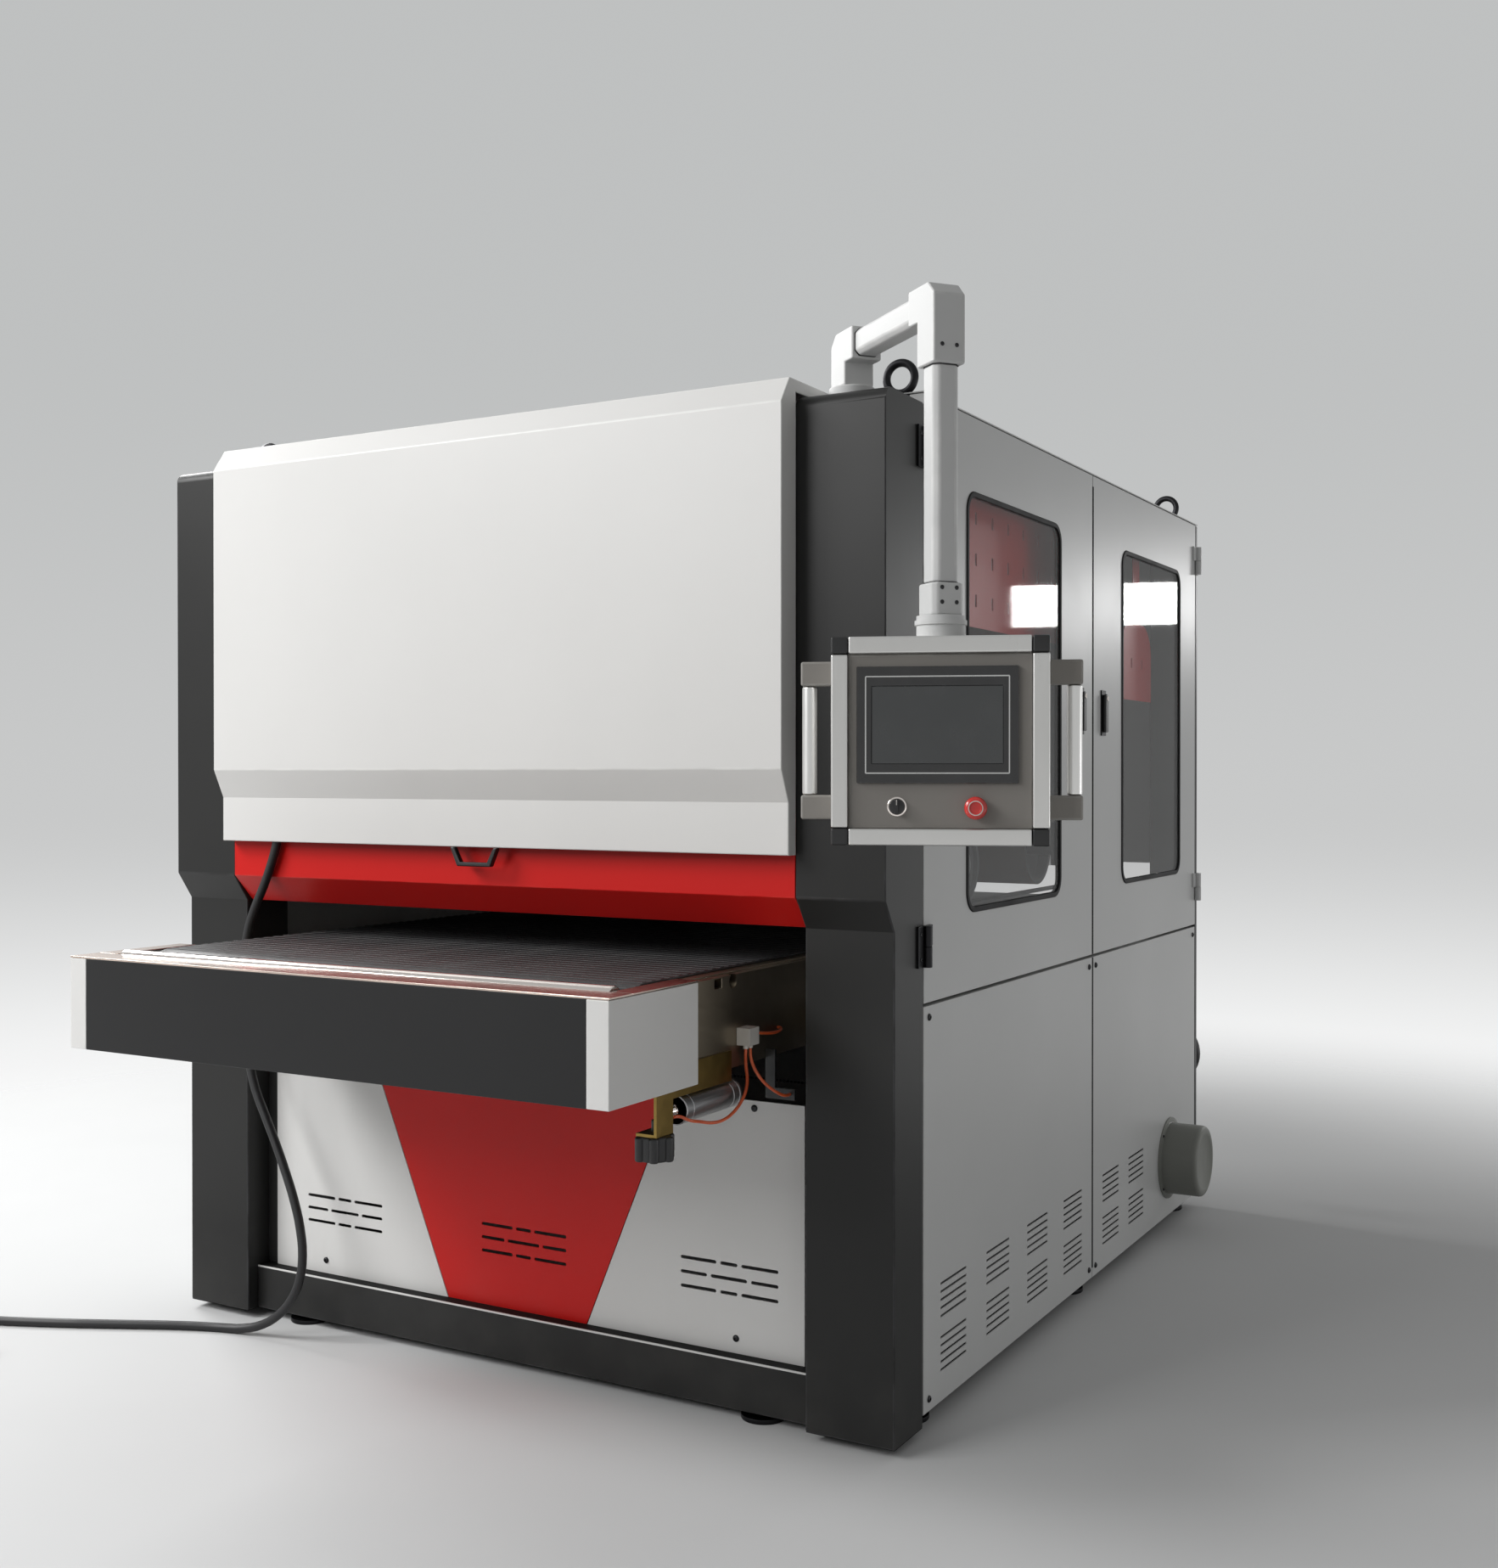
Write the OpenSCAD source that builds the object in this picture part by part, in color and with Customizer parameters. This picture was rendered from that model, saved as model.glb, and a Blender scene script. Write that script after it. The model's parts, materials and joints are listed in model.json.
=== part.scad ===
// Two-head wide belt sander with a rising conveyor table and a swivelling control pendant.
// X runs across the work, Y along the feed from infeed to outfeed, Z up from the floor.

/* [Cabinet] */
// Overall width over the side panels
body_w = 1845; // [1810:5:1880]
// Depth from the columns' lower front face to the back
body_d = 2130; // [2090:5:2200]
// Height of the front columns above the floor
column_h = 1985; // [1970:5:2030]
// Width of each front column
column_w = 187; // [180:1:192]
// Depth of each front column
column_d = 130; // [126:1:136]
// Sheet thickness of the columns
column_wall = 4; // [3:0.5:6]
// How far the columns' upper part stands forward
column_step = 40; // [34:1:46]
// Height at which the columns start to bend forward
bend_z = 980; // [975:1:990]
// Height of that bend
bend_h = 60; // [50:1:70]
// Radius of the columns' top front edge
column_top_r = 24; // [10:1:40]
// Sheet thickness of panels and doors
sheet = 2.5; // [2:0.5:4]
// Depth of the folded panel and door trays
tray_d = 30; // [26:1:34]
// Width of the frame rails
rail_w = 80; // [72:1:84]
// Height of the base rails
rail_h = 100; // [92:1:104]
// Gap between the frame and the floor
foot_h = 18; // [14:1:24]
// Radius of a levelling foot
foot_r = 45; // [35:1:55]
// Height of the seam between the lower panels and the doors
seam_z = 829; // [820:1:840]
// Place of the seam between the front and rear doors
seam_y = 1155; // [1140:1:1170]

/* [Front panels] */
// Front face of the lower front panels
front_panel_y = 61; // [50:1:70]
// Top edge of the lower front panels
front_panel_top = 627; // [600:1:630]
// Half width of the red panel at its top
red_half_top = 400; // [360:5:430]
// Half width of the red panel at its foot
red_half_foot = 185; // [160:5:220]

/* [Hood] */
// Bottom edge of the lifting front hood
hood_bottom_z = 1121; // [1110:1:1130]
// How far the hood's face stands in front of the columns
hood_depth = 60; // [50:1:70]
// Sheet thickness of the hood
hood_t = 3; // [2:0.5:4]

/* [Doors] */
// Bottom edge of the door windows
window_z0 = 990; // [970:5:1010]
// Gap between the windows and the doors' top edge
window_drop = 151; // [133:1:200]
// Corner radius of the door windows
window_r = 45; // [30:1:60]
// Width of the rubber gasket round the glass
gasket_w = 12; // [8:1:16]

/* [Table] */
// Height of the conveyor belt above the floor
table_z = 905; // [890:1:915]
// How far the table stands out in front of the columns
table_out = 550; // [530:1:570]
// Half width of the conveyor belt
belt_half = 600; // [580:1:605]
// Thickness of the conveyor belt
belt_t = 4; // [3:0.5:6]
// Radius of the conveyor's end rollers
roller_r = 71; // [66:1:74]
// How far the end caps stand out beyond the table's side plates
cap_out = 23; // [18:1:33]
// Height of the black front apron
apron_h = 187; // [175:1:192]

/* [Sanding heads] */
// Gap between the belt and the drums at rest
pass_gap = 60; // [58:1:64]
// Radius of the contact drums
drum_r = 105; // [95:1:110]
// Radius of the upper tension rollers
tension_r = 60; // [50:1:70]
// How far the tension rollers sit below the top rails
tension_drop = 225; // [205:5:265]
// Thickness of the abrasive belts
abrasive_t = 1.5; // [1:0.5:2.5]

/* [Pendant] */
// Length of the pendant arm between its two upright axes
arm_len = 356; // [340:1:380]
// Side of the arm's square tube
arm_tube = 50; // [44:1:54]
// Width of the control box
box_w = 369; // [350:1:385]
// Height of the control box
box_h = 355; // [340:1:370]
// Depth of the control box
box_d = 120; // [100:1:126]
// Bottom edge of the control box
box_z = 1152; // [1140:1:1165]

/* [Power cord] */
// Thickness of the power cord
cord_d = 20; // [18:0.5:20.5]

/* [Hidden] */
$fn = 48;
overrun = 2;
seat_gap = 0.3;
run_gap = 0.05;
weld_gap = 0.4;
door_gap = 3;
// Overlap that fuses two shapes, and a loose clearance
lap = 1;

// Main planes of the cabinet
half_w = body_w / 2;
inner_x = half_w - column_w;
rail_out = half_w - tray_d - seat_gap;
rail_in = rail_out - rail_w;
rail_top = foot_h + rail_h;
roof_rise = 20;
roof_z = column_h + roof_rise;
roof_t = 3;
roof_top = roof_z + roof_t;
top_rail_z = roof_z - rail_w;
tension_z = top_rail_z - tension_drop;
corner_strip = 22;
back_y = body_d - tray_d;
tray_y0 = column_d + door_gap;
tray_y1 = body_d - corner_strip - door_gap;
lower_z0 = 40;
door_z0 = seam_z + door_gap;
door_z1 = roof_z - door_gap + lap;
window_z1 = door_z1 - window_drop;
beam_y = 30;
stile_w = 31;
panel_t = 3;
panel_half = inner_x - stile_w - overrun;
front_upper_y = -column_step;

// Table planes
table_front = -table_out;
roller_z = table_z - belt_t - roller_r;
roller_inset = 200;
roller_front_y = table_front + roller_inset;
roller_rear_inset = 45;
roller_rear_y = body_d - roller_rear_inset;
loop_r = roller_r + belt_t;
plate_t = 15;
belt_margin = 22;
plate_x = belt_half + belt_margin;
table_half = plate_x + plate_t + cap_out;
cap_wall = 3;
plate_z0 = table_z - apron_h + cap_wall + seat_gap;
plate_drop = 8;
plate_z1 = table_z - plate_drop;
plate_overhang = 40;
plate_y1 = body_d + plate_overhang;
shaft_r = 15;
trim_t = 4;
cap_w = 46;
cap_len = 283;
cap_x = table_half - cap_w;
apron_t = 3;
infeed_r = 22;
infeed_inset = 95;
infeed_y = table_front + infeed_inset;
infeed_drop = 15;
infeed_z = table_z - infeed_drop;
infeed_shaft_r = 8;
bed_t = 12;

// Sanding head places, front and rear
head_front_y = 640;
head_rear_inset = 470;
head_ys = [head_front_y, body_d - head_rear_inset];
drum_z = table_z + pass_gap + abrasive_t + drum_r + seat_gap;
drum_half = belt_half;
drum_shaft_r = 25;
tension_shaft_r = 20;
head_arm_gap = 55;
head_arm_x = drum_half + head_arm_gap;
head_arm_t = 24;
head_arm_half = 50;
head_beam_half = 60;
guard_x = 850;
guard_t = 3;
guard_margin = 45;
guard_fall = 335;
guard_z0 = top_rail_z - guard_fall;
guard_rear_half = 142;
guard_rear_fall = 448;
guard_rear_z0 = top_rail_z - guard_rear_fall;
guard_rear_drop = 235;
guard_rear_z1 = top_rail_z - guard_rear_drop;
guard_rear_r = 90;
guard_slot_w = 9;
guard_slot_h = 27;
guard_pitch_y = 97;
guard_pitch_z = 89;
guard_hanger = 60;
press_r = 30;
press_back = 200;
press_z = drum_z - drum_r - abrasive_t + press_r;
press_shaft_r = 12;
press_foot = 20;
pulley_r = 80;
pulley_gap = 86;
pulley_w = 36;
pulley_x0 = head_arm_x + head_arm_t + pulley_gap;
pulley_x1 = pulley_x0 + pulley_w;
motor_inset = 293;
motor_y = body_d - motor_inset;
motor_z = 200;
motor_r = 78;
motor_x0 = 250;
motor_x1 = 600;
motor_pulley_r = 55;
vbelt_t = 8;

// Lift screws and their chain
screw_out = 53;
screw_x = plate_x + plate_t + screw_out;
screw_front_y = 300;
screw_rear_inset = 380;
screw_ys = [screw_front_y, body_d - screw_rear_inset];
screw_r = 20;
screw_top = 880;
sprocket_r = 46;
chain_clear = 30;
sprocket_z = motor_z + motor_r + chain_clear;
sprocket_t = 8;
nut_drop = 165;
nut_z0 = table_z - nut_drop;
nut_h = 50;
nut_half = 40;

// Pendant places
arm_inset = 122.5;
arm_x = half_w - arm_inset;
arm_y = 70;
arm_turn = -38.5;
box_turn = 21;
drop_x = arm_x + arm_len * cos(arm_turn);
drop_y = arm_y + arm_len * sin(arm_turn);
box_top = box_z + box_h;
arm_base_h = 27;
arm_base_r = 44;
arm_rise = 100;
arm_z = column_h + arm_rise;
elbow_wall = 6;
elbow_side = arm_tube + 2 * elbow_wall;
coupling_h = 38;
sleeve_z0 = box_top + coupling_h;
sleeve_h = 56;
bar_w = 29;
grip_out = 241;

// Rear handwheel
wheel_r = 100;
wheel_inset = 132.5;
wheel_x = half_w - wheel_inset;
wheel_z = 422;
wheel_reach = 150;
wheel_t = 26;

// Middle of the floor space, which is the origin
box_right = drop_x + grip_out * cos(box_turn) + box_d / 2 * sin(box_turn);
mid_x = (half_w - box_right) / 2;
front_y = (table_out - body_d - wheel_reach - wheel_t) / 2;

// Power cord route from the gland to the coil
gland_x = -585;
gland_y = -54;
gland_top = 1200;
gland_foot = 1150;
cord_r = cord_d / 2;
cord_points = [
    [-585, -54, 1150], [-585, -54, 1130], [-590, -54, 1108], [-605, -53, 1070], [-632, -50, 1018],
    [-665, -46, 965], [-690, -43, 910], [-702, -41, 850], [-706, -40, 780], [-702, -40, 700],
    [-690, -40, 620], [-668, -41, 550], [-634, -43, 490], [-598, -46, 430], [-564, -50, 370],
    [-534, -54, 310], [-512, -58, 250], [-502, -62, 195], [-506, -66, 145], [-526, -70, 98],
    [-562, -74, 58], [-608, -79, 29], [-660, -86, 14], [-715, -98, 10], [-775, -119, 10],
    [-845, -150, 10], [-925, -190, 10], [-1005, -230, 10], [-1090, -270, 10], [-1175, -307, 10],
    [-1255, -338, 10], [-1335, -369, 10]
];
cord_sides = 10;

// Coil of the length that is put away: two turns in, a climb, and a turn and a half out
coil_sides = 6;
coil_rings = 24;
coil_loops = 2;
coil_count = 84;
coil_air = 1.2;
coil_pitch = cord_d + coil_air;
coil_in_r = 88;
coil_out_r = coil_in_r + coil_loops * coil_pitch;
coil_tail_len = 120;
coil_start = cord_points[len(cord_points) - 1];
coil_before = cord_points[len(cord_points) - 2];
coil_start_way = (coil_start - coil_before) / norm(coil_start - coil_before);
coil_turn = atan2(coil_start_way[1], coil_start_way[0]);
coil_x = coil_start[0] + cord_d * coil_start_way[0] - coil_out_r * coil_start_way[1];
coil_y = coil_start[1] + cord_d * coil_start_way[1] + coil_out_r * coil_start_way[0];

// Helpers

module machine() {
    translate([mid_x, front_y, 0]) children();
}

module slab(low, high) {
    translate(low) cube(high - low);
}

module both_sides() {
    children();
    mirror([1, 0, 0]) children();
}

module along_x(x0, x1) {
    translate([x0, 0, 0]) rotate([90, 0, 90]) linear_extrude(x1 - x0) children();
}

module along_y(y0, y1) {
    translate([0, y1, 0]) rotate([90, 0, 0]) linear_extrude(y1 - y0) children();
}

module rod_x(r, x0, x1, y, z) {
    translate([x0, y, z]) rotate([0, 90, 0]) cylinder(r = r, h = x1 - x0);
}

module rod_y(r, y0, y1, x, z) {
    translate([x, y0, z]) rotate([-90, 0, 0]) cylinder(r = r, h = y1 - y0);
}

module rod_z(r, z0, z1, x, y) {
    translate([x, y, z0]) cylinder(r = r, h = z1 - z0);
}

function arc(mid, r, a0, a1, steps) =
    [for (i = [0:steps]) mid + r * [cos(a0 + (a1 - a0) * i / steps), sin(a0 + (a1 - a0) * i / steps)]];

// Frame and cabinet

module column_outline(wall, foot) {
    front = front_upper_y + wall;
    r = column_top_r - wall;
    top = column_h - wall;
    polygon(concat(
        [[wall, foot], [wall, bend_z], [front, bend_z + bend_h]],
        arc([front + r, top - r], r, 180, 90, 6),
        [[column_d - wall, top], [column_d - wall, foot]]
    ));
}

module column() {
    difference() {
        along_x(inner_x, half_w) column_outline(0, foot_h);
        along_x(inner_x + column_wall, half_w - column_wall) column_outline(column_wall, foot_h - overrun);
    }
}

module left_column() {
    color([0.17, 0.17, 0.17]) machine() mirror([1, 0, 0]) column();
}

module right_column() {
    color([0.17, 0.17, 0.17]) machine() column();
}

// Welded square-tube frame: base rails, front stiles, cross beams, rear posts and top rails
module frame_rails() {
    rear_in = back_y - rail_w;
    cross_x = rail_in - weld_gap;
    color([0.16, 0.16, 0.17]) machine() {
        slab([-inner_x + weld_gap, beam_y, foot_h], [inner_x - weld_gap, beam_y + rail_w, rail_top]);
        slab([-cross_x, rear_in, foot_h], [cross_x, back_y, rail_top]);
        slab([-cross_x, rear_in, top_rail_z], [cross_x, back_y, roof_z]);
        for (y = screw_ys)
            slab([-cross_x, y - rail_w / 2, foot_h], [cross_x, y + rail_w / 2, rail_top]);
        for (y = head_ys)
            slab([-cross_x, y - head_beam_half, top_rail_z], [cross_x, y + head_beam_half, roof_z]);
        both_sides() {
            slab([rail_in, column_d + weld_gap, foot_h], [rail_out, back_y, rail_top]);
            slab([rail_in, column_d + weld_gap, top_rail_z], [rail_out, back_y, roof_z]);
            slab([rail_in, rear_in, rail_top + weld_gap], [rail_out, back_y, top_rail_z - weld_gap]);
            slab([rail_in, back_y + weld_gap, lower_z0], [rail_out, body_d, door_z1]);
            slab([rail_in, body_d - corner_strip, lower_z0], [half_w, body_d, door_z1]);
            slab([inner_x - stile_w, front_panel_y + panel_t + seat_gap, rail_top + weld_gap],
                 [inner_x - weld_gap, beam_y + rail_w, front_panel_top]);
        }
    }
}

port_r = 75;
port_wall = 3;
port_h = 100;
port_flange_r = 92;
port_flange_t = 4;
port_x = -300;
port_behind = 200;

module roof_panel() {
    color([0.72, 0.72, 0.71]) machine() difference() {
        slab([-half_w, column_d + overrun, roof_z], [half_w, body_d, roof_top]);
        for (y = head_ys)
            rod_z(port_r + seat_gap, roof_z - overrun, roof_top + overrun, port_x, y + port_behind);
    }
}

// Folded tray panel in the X plane, its skin on the outside
module side_tray(y0, y1, z0, z1) {
    difference() {
        slab([half_w - tray_d, y0, z0], [half_w, y1, z1]);
        slab([half_w - tray_d - overrun, y0 + sheet, z0 + sheet], [half_w - sheet, y1 - sheet, z1 - sheet]);
    }
}

louvre_len = 132;
louvre_h = 5;
louvre_pitch = 16;
louvre_count = 5;
louvre_low_z = 100;
louvre_row_step = 106;
louvre_rows = 2;
louvre_inset = 83;
louvre_step = 243;
louvre_groups = 4;
louvre_rear_step = 217;
louvre_rear_groups = 2;

// Stacks of slots in two rows, the first stack beside the panel's front edge
module louvres(y0, step, groups) {
    for (g = [0:groups - 1], row = [0:louvre_rows - 1], i = [0:louvre_count - 1]) {
        y = y0 + louvre_inset + g * step;
        z = louvre_low_z + row * louvre_row_step + i * louvre_pitch;
        slab([half_w - sheet - overrun, y, z], [half_w + overrun, y + louvre_len, z + louvre_h]);
    }
}

cover_r = 97;
cover_len = 100;
cover_wall = 3;
cover_flange_r = 112;
cover_flange_t = 4;

module right_side_panels() {
    color([0.72, 0.72, 0.71]) machine() {
        difference() {
            side_tray(tray_y0, seam_y - door_gap / 2, lower_z0, seam_z - door_gap);
            louvres(tray_y0, louvre_step, louvre_groups);
        }
        difference() {
            side_tray(seam_y + door_gap / 2, tray_y1, lower_z0, seam_z - door_gap);
            louvres(seam_y, louvre_rear_step, louvre_rear_groups);
            rod_x(motor_r, half_w - sheet - overrun, half_w + overrun, motor_y, motor_z);
        }
    }
}

// Fixed left and rear panels
module cabinet_panels() {
    rear_half = rail_in - seat_gap;
    rear_top = front_panel_top - overrun;
    rear_gate = bend_z + tray_d;
    color([0.72, 0.72, 0.71]) machine() {
        mirror([1, 0, 0]) for (zs = [[lower_z0, seam_z - door_gap], [door_z0, door_z1]]) {
            side_tray(tray_y0, seam_y - door_gap / 2, zs[0], zs[1]);
            side_tray(seam_y + door_gap / 2, tray_y1, zs[0], zs[1]);
        }
        difference() {
            slab([-rear_half, back_y + seat_gap, lower_z0], [rear_half, body_d, rear_top]);
            slab([-rear_half + sheet, back_y - overrun, lower_z0 + sheet],
                 [rear_half - sheet, body_d - sheet, rear_top - sheet]);
            rod_y(wheel_shaft_r + overrun, back_y, body_d + overrun, wheel_x, wheel_z);
        }
        difference() {
            slab([-rear_half, back_y + seat_gap, rear_gate], [rear_half, body_d, door_z1]);
            slab([-rear_half + sheet, back_y - overrun, rear_gate + sheet],
                 [rear_half - sheet, body_d - sheet, door_z1 - sheet]);
        }
    }
}

vent_h = 7;
vent_gap = 9;
vent_pitch = 29;
vent_long = 84;
vent_short = 40;
vent_x = 20;
vent_step = 511;
vent_z = 265;

module vent_dash(x, z, len) {
    r = vent_h / 2;
    translate([x + r, z - r]) square([len - vent_h, vent_h]);
    translate([x + r, z]) circle(r);
    translate([x + len - r, z]) circle(r);
}

// Three staggered rows of dashes about a middle point
module vent_group(x, z) {
    span = 2 * vent_long + vent_short + 2 * vent_gap;
    side = (span - vent_long - 2 * vent_gap) / 2;
    for (row = [-1, 1]) {
        vent_dash(x - span / 2, z + row * vent_pitch, vent_long);
        vent_dash(x - vent_short / 2, z + row * vent_pitch, vent_short);
        vent_dash(x + span / 2 - vent_long, z + row * vent_pitch, vent_long);
    }
    vent_dash(x - span / 2, z, side);
    vent_dash(x - vent_long / 2, z, vent_long);
    vent_dash(x + span / 2 - side, z, side);
}

// Two white sheets and a red one between them, screwed to the stiles and the base beam
module front_panels() {
    z0 = rail_top + seat_gap;
    y1 = front_panel_y + panel_t;
    color([0.87, 0.86, 0.84]) machine() for (side = [-1, 1])
        along_y(front_panel_y, y1) difference() {
            polygon([[side * panel_half, z0], [side * (red_half_foot + overrun), z0],
                     [side * (red_half_top + overrun), front_panel_top], [side * panel_half,
                              front_panel_top]]);
            vent_group(vent_x + side * vent_step, vent_z);
        }
    color([0.72, 0.1, 0.09]) machine() along_y(front_panel_y, y1) difference() {
        polygon([[-red_half_foot, z0], [red_half_foot, z0],
                 [red_half_top, front_panel_top], [-red_half_top, front_panel_top]]);
        vent_group(vent_x, vent_z);
    }
}

crossbar_t = 4;
crossbar_back = 15;
crossbar_lip = 45;
crossbar_flange = 26;

// Folded red bar across the infeed, with a forward flange that holds the cord gland
module red_crossbar() {
    y0 = front_upper_y;
    t = crossbar_t;
    half = hood_half - hood_t - seat_gap;
    color([0.72, 0.1, 0.09]) machine() difference() {
        along_x(-half, half) polygon([
            [y0 - crossbar_flange, gland_top], [y0 - crossbar_flange, gland_top - t],
            [y0, gland_top - t], [y0, bend_z + bend_h], [crossbar_back, bend_z],
            [crossbar_back + crossbar_lip, bend_z], [crossbar_back + crossbar_lip, bend_z + t],
            [crossbar_back + t / 2, bend_z + t], [y0 + t, bend_z + bend_h + t / 2], [y0 + t, gland_top]
        ]);
        rod_z(gland_neck_r + seat_gap, gland_top - t - overrun, gland_top + overrun, gland_x, gland_y);
    }
}

eye_inset_x = 72.5;
eye_inset_y = 54;
eye_ring_r = 30;
eye_wire_r = 8;
eye_collar_r = 25;
eye_collar_h = 12;

// Forged eye bolts screwed through the roof into the top rails
module lifting_eyes() {
    color([0.06, 0.06, 0.06]) machine() both_sides()
        for (y = [column_d + eye_inset_y, body_d - eye_inset_y - corner_strip])
            translate([half_w - eye_inset_x, y, roof_top]) {
                cylinder(r = eye_collar_r, h = eye_collar_h);
                translate([0, 0, eye_collar_h + eye_ring_r]) rotate([90, 0, 0])
                    rotate_extrude() translate([eye_ring_r, 0]) circle(eye_wire_r);
            }
}

foot_pad_h = 10;
foot_stem_r = 12;
foot_beam_x = 606;

module levelling_feet() {
    side_x = (rail_in + rail_out) / 2;
    color([0.07, 0.07, 0.07]) machine() both_sides()
        for (p = [[foot_beam_x, beam_y + rail_w / 2], [side_x, column_d + rail_w], [side_x, seam_y],
                  [side_x, back_y - rail_w / 2]])
            translate([p[0], p[1], 0]) {
                cylinder(r = foot_r, h = foot_pad_h);
                cylinder(r = foot_stem_r, h = foot_h);
            }
}

screw_head_r = 7;
screw_head_h = 4;
screw_inset = 22;
cover_screw_r = 104;
panel_screw_shares = [[0.78, 0.06], [0.84, 0.97]];

// Button-head screws of the front and side panels and of the motor cover
module panel_screws() {
    tall = front_panel_top - rail_top;
    color([0.1, 0.1, 0.1]) machine() {
        both_sides() for (s = panel_screw_shares)
            rod_y(screw_head_r, front_panel_y - screw_head_h, front_panel_y, panel_half * s[0],
                  rail_top + tall * s[1]);
        for (y = [tray_y0, seam_y, tray_y1], side = [-1, 1], z = [lower_z0, seam_z])
            if ((y > tray_y0 || side > 0) && (y < tray_y1 || side < 0))
                rod_x(screw_head_r, half_w, half_w + screw_head_h, y + side * (screw_inset + door_gap),
                      z + sign(seam_z / 2 - z) * (screw_inset + door_gap));
        for (a = [45:90:315])
            rod_x(screw_head_r / 2, half_w + cover_flange_t, half_w + cover_flange_t + screw_head_h,
                  motor_y + cover_screw_r * cos(a), motor_z + cover_screw_r * sin(a));
    }
}

// Sanding heads

// Red slotted guard sheets behind the door windows, hung from the right top rail
module inner_guards() {
    y0 = tray_y0 + guard_margin;
    y1 = seam_y - guard_margin;
    rear_y = (head_ys[1] + back_y - rail_w) / 2 - guard_margin * 2;
    hang_z = top_rail_z - seat_gap;
    color([0.6, 0.1, 0.09]) machine() {
        difference() {
            slab([guard_x, y0, guard_z0], [guard_x + guard_t, y1, hang_z]);
            for (y = [y0 + guard_pitch_y:guard_pitch_y:y1 - guard_pitch_y / 2],
                 z = [guard_z0 + guard_pitch_z / 2:guard_pitch_z:hang_z - guard_pitch_z / 2])
                slab([guard_x - overrun, y, z],
                     [guard_x + guard_t + overrun, y + guard_slot_w, z + guard_slot_h]);
        }
        along_x(guard_x, guard_x + guard_t) difference() {
            union() {
                translate([rear_y - guard_rear_half, guard_rear_z0])
                    square([2 * guard_rear_half, guard_rear_z1 - guard_rear_z0 - guard_rear_r]);
                translate([rear_y - guard_rear_half + guard_rear_r, guard_rear_z0])
                    square([2 * (guard_rear_half - guard_rear_r), guard_rear_z1 - guard_rear_z0]);
                for (s = [-1, 1])
                    translate([rear_y + s * (guard_rear_half - guard_rear_r), guard_rear_z1 - guard_rear_r])
                        circle(guard_rear_r);
                translate([rear_y - guard_hanger / 2, guard_rear_z1 - guard_rear_r])
                    square([guard_hanger, hang_z - guard_rear_z1 + guard_rear_r]);
            }
            for (s = [-1, 1])
                translate([rear_y + s * guard_pitch_y / 2, guard_rear_z0 + guard_pitch_z])
                    square([guard_slot_w, guard_slot_h]);
        }
    }
}

// Cast arms that carry the drum and tension roller shafts, hung from the head beams
module head_arms() {
    low = drum_z - head_arm_half;
    foot_z1 = press_z + head_arm_half;
    x0 = head_arm_x;
    x1 = head_arm_x + head_arm_t;
    color([0.32, 0.33, 0.34]) machine() both_sides() for (i = [0, 1]) difference() {
        union() {
            slab([x0, head_ys[i] - head_arm_half, low],
                 [x1, head_ys[i] + head_arm_half, top_rail_z - seat_gap]);
            if (i == 0)
                slab([x0, head_ys[i] - press_back - press_r, press_z - press_foot],
                     [x1, head_ys[i], foot_z1]);
        }
        rod_x(drum_shaft_r + run_gap, x0 - overrun, x1 + overrun, head_ys[i], drum_z);
        rod_x(tension_shaft_r + run_gap, x0 - overrun, x1 + overrun, head_ys[i], tension_z);
        if (i == 0)
            rod_x(press_shaft_r + run_gap, x0 - overrun, x1 + overrun, head_ys[i] - press_back, press_z);
    }
}

module abrasive_loop(y, grow) {
    hull() {
        translate([y, drum_z]) circle(drum_r + grow);
        translate([y, tension_z]) circle(tension_r + grow);
    }
}

module abrasive_belts() {
    color([0.35, 0.12, 0.08]) machine() for (y = head_ys)
        along_x(-drum_half + seat_gap, drum_half - seat_gap) difference() {
            abrasive_loop(y, seat_gap + abrasive_t);
            abrasive_loop(y, seat_gap);
        }
}

duct_half = 560;
duct_wall = 2;
duct_rise = 40;
duct_z0 = drum_z - drum_r + duct_rise;
duct_z1 = top_rail_z - rail_w / 2;
duct_gap = 20;

// Dust ducts behind each drum, with a round spigot through the roof for a hose
module dust_ports() {
    color([0.6, 0.61, 0.62]) machine() for (y = head_ys) {
        y0 = y + drum_r + duct_gap;
        y1 = y + port_behind + port_r;
        difference() {
            union() {
                slab([-duct_half, y0, duct_z0], [duct_half, y1, duct_z1]);
                rod_z(port_r, duct_z1 - duct_wall, roof_top + port_h, port_x, y + port_behind);
                rod_z(port_flange_r, roof_top + seat_gap, roof_top + port_flange_t, port_x, y + port_behind);
            }
            slab([-duct_half + duct_wall, y0 + duct_wall, duct_z0 - overrun],
                 [duct_half - duct_wall, y1 - duct_wall, duct_z1 - duct_wall]);
            rod_z(port_r - port_wall, duct_z1 - overrun - duct_wall, roof_top + port_h + overrun, port_x,
                  y + port_behind);
        }
    }
}

// Contact drum or tension roller: a tube on two webs with a through shaft
module roller(r, wall, half, shaft, x0, x1, y, z) {
    web = wall * 2;
    hole_r = (r - wall - shaft) / 4;
    hole_at = (r - wall + shaft) / 2;
    difference() {
        rod_x(r, -half, half, y, z);
        rod_x(r - wall, -half - overrun, half + overrun, y, z);
    }
    for (s = [-1, 1]) difference() {
        rod_x(r - wall / 2, s * half * roller_web_share - web / 2,
              s * half * roller_web_share + web / 2, y, z);
        for (a = [0:120:240])
            rod_x(hole_r, s * half * roller_web_share - web, s * half * roller_web_share + web,
                  y + hole_at * cos(a), z + hole_at * sin(a));
    }
    rod_x(shaft, x0, x1, y, z);
}

roller_web_share = 0.9;
drum_wall = 14;
tension_wall = 8;
shaft_end = 6;
head_shaft_x = head_arm_x + head_arm_t + shaft_end;

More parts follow.
